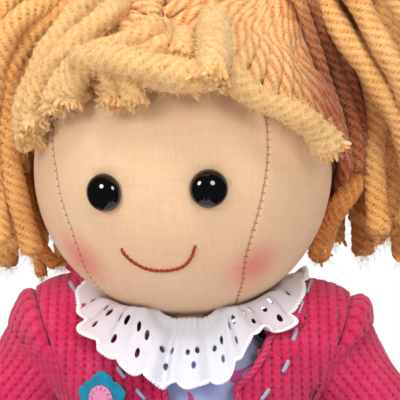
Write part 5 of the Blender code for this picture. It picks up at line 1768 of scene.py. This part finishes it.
def makeStitches():
    # Blue-grey running stitches that follow the cardigan's edge, lying on the knit
    print("edge stitches")
    look = {"spacing": 0.0005, "around": 12, "plies": 3, "pitch": 0.0030, "groove": 0.22, "sway": 0.03}
    lift = np.array(stitches["lifts"])[:, None]
    fromHeart = lambda line: line - stitches["heart"]
    parts = []
    for marks in (knit["stitchesLeft"], knit["stitchesRight"]):
        points = np.array(marks, float)
        for point, way in zip(points, unit(np.gradient(points, axis=0))):
            ends = onPicture(point + way * np.array((-1, 1))[:, None] * stitches["half"], 0.0)
            line = ends[0] + (ends[1] - ends[0]) * np.linspace(0, 1, len(lift))[:, None]
            line = line + unit(fromHeart(line)) * lift
            parts.append(yarn(line, fromHeart, stitches["radius"], look, point[0], (True, True)))
    thread = threadFinish("greyYarn", (176, 192, 208), (110, 128, 150), 0.7)
    makePiece("edgeStitches", parts, thread, "torso")


def ovalRows(heights, widths, depths, count=240):
    turn = turnsOf(count)
    x, y = ovalPoint(turn, np.asarray(widths)[:, None], np.asarray(depths)[:, None])
    return np.stack([x, y, np.asarray(heights)[:, None] + 0 * x], -1), turn


def clothUv(turn, around, along):
    # Distances on the cloth: round the body at its mean girth and along it, one column more to close the ring
    return np.stack(np.broadcast_arrays(closed(turn, 2 * np.pi) * around, along[:, None]), -1)


def makeTorso(skin):
    # The stuffed body is a lathe-like oval loft; over it the bodice, a looser oval with small gathers at the waist
    print("body and bodice")
    low, high = torsoSize["heights"][0], torsoSize["heights"][-1]
    deep, loose = torsoSize["depthShare"], torsoSize["loose"]
    heights = low + (high - low) * np.linspace(0, 1, 150)
    kernel = np.hanning(11) / np.hanning(11).sum()
    widths = np.convolve(np.pad(torsoWidth(heights), 5, "edge"), kernel, "valid")
    grid, turn = ovalRows(heights, widths, widths * deep)
    grid[..., :2] *= 1 - 0.012 * bell(np.abs(np.cos(turn)) * 0.035, 0.0007)[..., None]
    grid = np.concatenate([grid[:1] * (0.93, 0.93, 1), grid, grid[-1:] * (0.95, 0.95, 1) + (0, 0, 0.0002)])
    along = np.concatenate([heights[:1], heights, heights[-1:]])
    part = {"grid": grid, "around": True, "ends": (True, True), "uv": {"cloth": clothUv(turn, 0.034, along)}}
    body = makePiece("torsoBody", [part], skin, "torso", ("torso_cover", "torso_filling"))

    heights = np.linspace(*torsoSize["bodice"], 120)
    widths = torsoWidth(heights) + loose
    grid, turn = ovalRows(heights, widths, (widths - loose) * deep + loose, 300)
    up = (heights[:, None] - torsoSize["bodice"][0]) / 0.040
    gather = 0.00045 * np.sin(46 * turn + 2 * np.sin(3 * turn)) * np.exp(-up * 5)
    gather = gather + 0.0005 * np.sin(7 * turn + 6 * up) * (1 - up)
    grid[..., :2] *= 1 + (gather / 0.034)[..., None]
    grid = np.concatenate([grid, grid[::-1] * (0.985, 0.985, 1), grid[:1]])
    along = np.concatenate([heights, heights[::-1], heights[:1]])
    part = {"grid": grid, "around": True, "uv": {"cloth": clothUv(turn, 0.036, along)}}
    cloth = printFinish()
    addWeld(makePiece("bodicePrint", [part], cloth, "torso", ("dress_bodice",)))
    return cloth


neckProfile = (
    (0.0001, 0.0752), (0.0070, 0.0762), (0.0112, 0.0800), (0.0126, 0.0860), (0.0126, 0.0900), (0.0122, 0.0940),
    (0.0122, 0.0982), (0.0001, 0.0984),
)


def makeNeck(skin):
    # A turned profile of (radius, height) with shallow gathers
    places = np.linspace(0, len(neckProfile) - 1, 40)
    widths, heights = (np.interp(places, range(len(neckProfile)), values) for values in zip(*neckProfile))
    turn = turnsOf(96)
    radius = widths[:, None] * (1 + 0.012 * np.sin(14 * turn))
    grid = np.stack([radius * np.sin(turn), -radius * np.cos(turn), heights[:, None] + 0 * turn], -1)
    part = {"grid": grid, "around": True, "uv": {"cloth": clothUv(turn, 0.0125, heights)}}
    makePiece("neckStub", [part], skin, "neck", ("neck_stub",))


lap = {
    "hip": (0.0, -0.03556, 0.0180),
    "across": 0.0220,
    "legAway": (0.0030, 0.0080, 0.0160, 0.0270, 0.0480, 0.0800, 0.1040, 0.1130),
    "legWide": (0.0120, 0.0138, 0.0150, 0.0155, 0.0150, 0.0130, 0.0108, 0.0104),
    "legTall": (0.0024, 0.0050, 0.0100, 0.0148, 0.0150, 0.0130, 0.0108, 0.0104),
    "bloomer": (0.0090, 0.0490),
    "skirtHalf": 0.0660,
    "skirtFront": 0.1000,
    "skirtBack": 0.0520,
    "skirtLap": 0.0400,
    "floorGap": 0.0012,
    "folds": 12,
    "waist": 0.0440,
    "skirtRows": 76,
    "skirtColumns": 624,
    "skirtFlat": (0.430, 0.066),
    "thin": 0.0005,
}


def legRows(sign, away, grow, count=160, wave=0.0):
    # Ovals square to the leg, which points forwards with its toes up; the turn is counted from the top
    wide, tall = (np.interp(away, lap["legAway"], lap[key]) + grow for key in ("legWide", "legTall"))
    turn = turnsOf(count)
    x, z = ovalPoint(turn, wide[:, None], -tall[:, None])
    swell = 1 + wave / 0.015
    hip = lap["hip"]
    return np.stack([hip[0] + sign * lap["across"] + x * swell, hip[1] - away[:, None] + 0 * x, hip[2] + z * swell], -1), turn


def makeLeg(side, sign, skin, lawn):
    print("leg", side)
    body = f"leg_{side}"
    away = np.linspace(0.0032, lap["legAway"][-1], 180)
    grid, turn = legRows(sign, away, 0.0)
    middle = np.array([lap["hip"][0] + sign * lap["across"], 0, lap["hip"][2]])
    ends = [(edge - middle) * (0.7, 1, 0.7) + middle + (0, lift, 0) for edge, lift in ((grid[:1], 0.0003), (grid[-1:], -0.0004))]
    grid = np.concatenate([ends[0], grid, ends[1]])
    along = np.concatenate([away[:1], away, away[-1:]])
    outward = (grid - middle)[2:-2] * (1, 0, 1)
    part = tube(grid, outward, slice(2, -2), ends=(True, True), uv={"cloth": clothUv(turn, 0.014, along)})
    replaced = (f"leg_cover_{side}", f"leg_filling_{side}")
    makePiece(f"legCover_{side}", [part], skin, body, replaced)

    # Bloomer leg: gathered at its end by a sewn line, with a small frill beyond it
    away = np.linspace(*lap["bloomer"], 110)
    t = ((away - away[0]) / (away[-1] - away[0]))[:, None]
    turn = turnsOf(300)
    near = bell(t - 0.86, 0.16)
    frill = 0.25 + near + 12.8 * np.clip(t - 0.88, 0, 1)
    wave = 0.0012 * (1 - near) * np.clip(t * 4, 0, 1) + 0.0005 * np.sin(34 * turn + np.sin(turn * 3)) * frill
    wave = wave + 0.0006 * np.sin(5 * turn + 9 * t) * (1 - near) + 0.0008
    grid, _ = legRows(sign, away, 0.0006, 300, wave)
    inner, _ = legRows(sign, away, 0.0004, 300)
    grid = np.concatenate([grid, inner[::-1], grid[:1]])
    along = np.concatenate([away, away[::-1], away[:1]])
    outward = (grid - middle)[:100] * (1, 0, 1)
    part = tube(grid, outward, slice(100), uv={"cloth": clothUv(turn, 0.016, along)})
    addWeld(makePiece(f"bloomerLeg_{side}", [part], lawn, body, (f"bloomer_leg_{side}",)))


shoe = {
    "sole": 0.1160,
    "thick": 0.0028,
    "half": 0.0135,
    "heel": 0.0172,
    "toe": 0.0310,
    "deep": 0.0190,
    "ankle": 0.0112,
    "strap": 0.0050,
    "wall": 0.0014,
    "feltWall": 0.0008,
    "stitches": 60,
    # The sole's rings from its inner face round its rim: share of its outline and of its depth
    "rings": (0.0, 0.3, 0.6, 0.85, 0.95, 0.985, 1.0, 1.0, 0.985, 0.95, 0.6, 0.0),
    "depths": (0, 0, 0, 0, 0, 0.06, 0.25, 0.75, 0.94, 1, 1, 1),
}


def soleOutline(turn, grow=0.0):
    # Half width and half length of an oval, a little narrower at the heel
    middle, half = (shoe["toe"] - shoe["heel"]) / 2, (shoe["toe"] + shoe["heel"]) / 2
    x = (shoe["half"] + grow) * np.sin(turn)
    z = middle + (half + grow) * np.cos(turn)
    return x * (1 + 0.05 * np.cos(turn)), z


def makeShoe(side, sign, soleFelt, pink):
    body = f"leg_{side}"
    foot = np.array(lap["hip"]) + (sign * lap["across"], -shoe["sole"], 0)
    turn = turnsOf(180)

    # Sole: its rim is rounded; rings of the outline shrink to the middle on both faces
    shrink = np.maximum(np.array(shoe["rings"])[:, None], 0.002)
    depth = np.array(shoe["depths"])[:, None] * shoe["thick"]
    x, z = soleOutline(turn, -0.0001)
    middle = (shoe["toe"] - shoe["heel"]) / 2
    heart = foot + (0, 0, middle)
    grid = heart + np.stack([shrink * x, 0 * x - depth, shrink * (z - middle)], -1)
    part = tube(grid, (grid - heart)[5:8] * (1, 0, 1), slice(5, 8), ends=(True, True))
    makePiece(f"shoeSole_{side}", [part], soleFelt, body, (f"shoe_sole_{side}",))

    # Upper: half an ellipsoid over the sole, |x/a|^2 + |z/b|^2 + (y/c)^2 = 1, that stops at the rolled edge of the
    # foot opening round the ankle and turns inwards there
    rise = np.linspace(0, 1, 60)[:, None]
    x, z = soleOutline(turn, -0.0005)
    x, z = x * np.cos(rise * np.pi / 2) ** 0.85, (z - middle) * np.cos(rise * np.pi / 2) ** 0.85
    ankleX, ankleZ = shoe["ankle"] * np.sin(turn), shoe["ankle"] * np.cos(turn) - middle
    share = blendStep(0.35, 1.0, rise) * (np.hypot(x, z) <= np.hypot(ankleX, ankleZ))
    high = 0.0002 + shoe["deep"] * np.sin(rise * np.pi / 2)
    grid = heart + np.stack([x + (ankleX - x) * share, high + 0 * x, z + (ankleZ - z) * share], -1)
    part = tube(grid, (grid - heart)[5:30], slice(5, 30))
    upper = makePiece(f"shoeUpper_{side}", [part], pink, body, (f"shoe_upper_{side}",))
    addWall(upper, shoe["feltWall"])

    # Stitches round the sole
    look = {"spacing": 0.0006, "around": 10, "plies": 2, "pitch": 0.0022, "groove": 0.12, "sway": 0.0}
    seams = []
    for start in np.linspace(0, 2 * np.pi, shoe["stitches"] + 1)[:-1]:
        x, z = soleOutline(start + np.linspace(0.02, 2 * np.pi / shoe["stitches"] - 0.02, 4), 0.00015)
        line = foot + np.stack([x, 0.0009 + 0 * x, z], 1)
        seams.append(yarn(line, lambda line: line - foot - (0, 0, 0.007), 0.0004, look, 0.0, (True, True)))
    thread = threadFinish(f"shoeThread_{side}", (240, 190, 205), (200, 130, 150), 1.0)
    makePiece(f"shoeStitches_{side}", seams, thread, body)

    # Strap round the ankle
    low = -shoe["sole"] + shoe["deep"] + 0.0006
    away = -np.linspace(low + shoe["strap"], low, 12)
    rows, _ = legRows(sign, away, 0.0003 + shoe["wall"])
    inner, _ = legRows(sign, away, 0.0003)
    grid = np.concatenate([rows, inner[::-1], rows[:1]])
    part = tube(grid, (grid - foot)[2:10] * (1, 0, 1), slice(2, 10))
    addWeld(makePiece(f"shoeStrap_{side}", [part], pink, body, (f"shoe_strap_{side}",)))


def makeSkirt(cloth):
    # From the gathered waist outwards: each column eases out with sin(t 90 degrees), and falls to the lap in front
    # and to the floor elsewhere. Main folds widen the columns and lift them over the lap; small gathers start at the
    # waist and run out into them. A hem band ends it.
    print("skirt")
    turn, top = turnsOf(lap["skirtColumns"]), lap["waist"]
    t = np.linspace(0, 1, lap["skirtRows"])[:, None]
    waist = torsoWidth(top) + 0.0016
    facing = np.cos(turn)
    folds = np.cos(lap["folds"] * turn)
    drift = turn + 0.10 * np.sin(3 * turn + 0.7) + 0.06 * np.sin(5 * turn)
    ease = np.sin(np.pi / 2 * t) * (1 + 0.045 * folds * t)
    topX, topY = ovalPoint(turn, waist, waist * torsoSize["depthShare"] + 0.0003)
    endX, endY = ovalPoint(turn, lap["skirtHalf"], np.where(facing > 0, lap["skirtFront"], lap["skirtBack"]))
    x = topX + (endX - topX) * ease
    y = topY + (endY - topY) * ease
    onLap = blendStep(-0.35, 0.25, facing) * (1 - blendStep(0.044, lap["skirtHalf"], np.abs(x)))
    onLap = onLap * (1 - blendStep(lap["hip"][1], lap["skirtBack"] / 2, y))
    endZ = lap["floorGap"] + (lap["skirtLap"] - lap["floorGap"]) * onLap
    z = top + (endZ - top) * t ** (1 + 1.2 * (1 - onLap)) + 0.0020 * t * onLap * folds
    grid = np.stack([x, y, z], -1)
    normal = cross(grid)
    if normal[..., 2].mean() < 0:
        normal = -normal
    gather = 0.0011 * np.sin(48 * drift) * np.exp(-t * 3.2)
    gather = gather + 0.0016 * np.abs(np.sin(12 * drift + 0.8)) ** 0.7 * blendStep(0.08, 0.6, t)
    gather = gather + 0.0007 * np.sin(24 * drift + 3 * t) * np.sin(np.pi * np.clip(t * 1.3, 0, 1))
    gather = gather - 0.00035 * bell(t - 0.90, 0.008) + 0.0003 * blendStep(0.90, 0.915, t)
    clear = np.clip(1 - 0.9 * blendStep(0.85, 1.0, t) * (1 - onLap), 0.1, 1)
    grid = grid + normal * (gather * clear)[..., None]
    grid[..., 2] = np.maximum(grid[..., 2], 0.0004)
    along = np.cumsum(np.linalg.norm(np.diff(grid, axis=0, prepend=grid[:1]), axis=-1), 0)
    around = lap["skirtFlat"][0] * closed(turn, 2 * np.pi) / (2 * np.pi) + 0 * t
    part = tube(grid, (0, 0, 1), uv={"cloth": np.stack([around, closed(along)], -1)})
    skirt = makePiece("skirtPrint", [part], cloth, None, ("skirt",))
    addWall(skirt, lap["thin"])
    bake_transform(skirt)


def makeSeat(lawn):
    # Bloomers over the seat: the body's oval let out a little, gathered at the waist and pressed flat where it sits
    print("bloomers")
    top, loose = 0.0432, torsoSize["loose"]
    heights = np.linspace(0.0004, top, 90)
    widths = torsoWidth(np.maximum(heights, 0.0013)) + loose - 0.0040 * (1 - blendStep(0.0, 0.0060, heights))
    grid, turn = ovalRows(heights, widths, (widths - loose) * torsoSize["depthShare"] + loose, 260)
    up = heights[:, None] / top
    puff = 0.0005 * np.sin(9 * turn + 5 * up) * np.sin(np.pi * up) + 0.0003 * np.sin(40 * turn) * up**4
    grid[..., :2] *= 1 + (puff / 0.036)[..., None]
    part = {"grid": grid, "around": True, "ends": (True, False), "uv": {"cloth": clothUv(turn, 0.038, heights)}}
    addWall(makePiece("bloomersSeat", [part], lawn, "torso", ("bloomers_seat",)), lap["thin"])


def dressNode(name, material):
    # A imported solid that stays: only its finish changes
    node = frame["nodes"][name]
    node = bpy.data.objects[name] if isinstance(node, (dict, str)) else node
    for slot in node.material_slots:
        slot.material = material


def makeBody():
    skin = clothFinish("peachCotton", headLook["light"], headLook["shade"])
    lawn = clothFinish("whiteLawn", (240, 240, 243), (214, 216, 224), thread=0.00045)
    wool = makeCardigan()
    for side, sign in sides:
        makeArm(side, sign, wool, skin)
    cloth = makeTorso(skin)
    makeNeck(skin)
    makeCollar()
    makeFlower()
    makeStitches()
    makeSeat(lawn)
    sole = feltFinish("shoeSole", (150, 108, 78), (104, 70, 48))
    pink = feltFinish("shoePink", (226, 84, 124), (176, 40, 84))
    for side, sign in sides:
        makeLeg(side, sign, skin, lawn)
        makeShoe(side, sign, sole, pink)
    makeSkirt(cloth)
    white = plainFinish("whitePlastic", (236, 236, 234), 0.35, 0.5)
    for side, _ in sides:
        dressNode(f"shoe_button_{side}", white)
        dressNode(f"eye_washer_{side}", white)
    dressNode("hip_strip", lawn)


makeStudio()
makeHead()
makeEyes()
makeSmile()
makeHair()
makeBody()
bpy.context.view_layer.update()
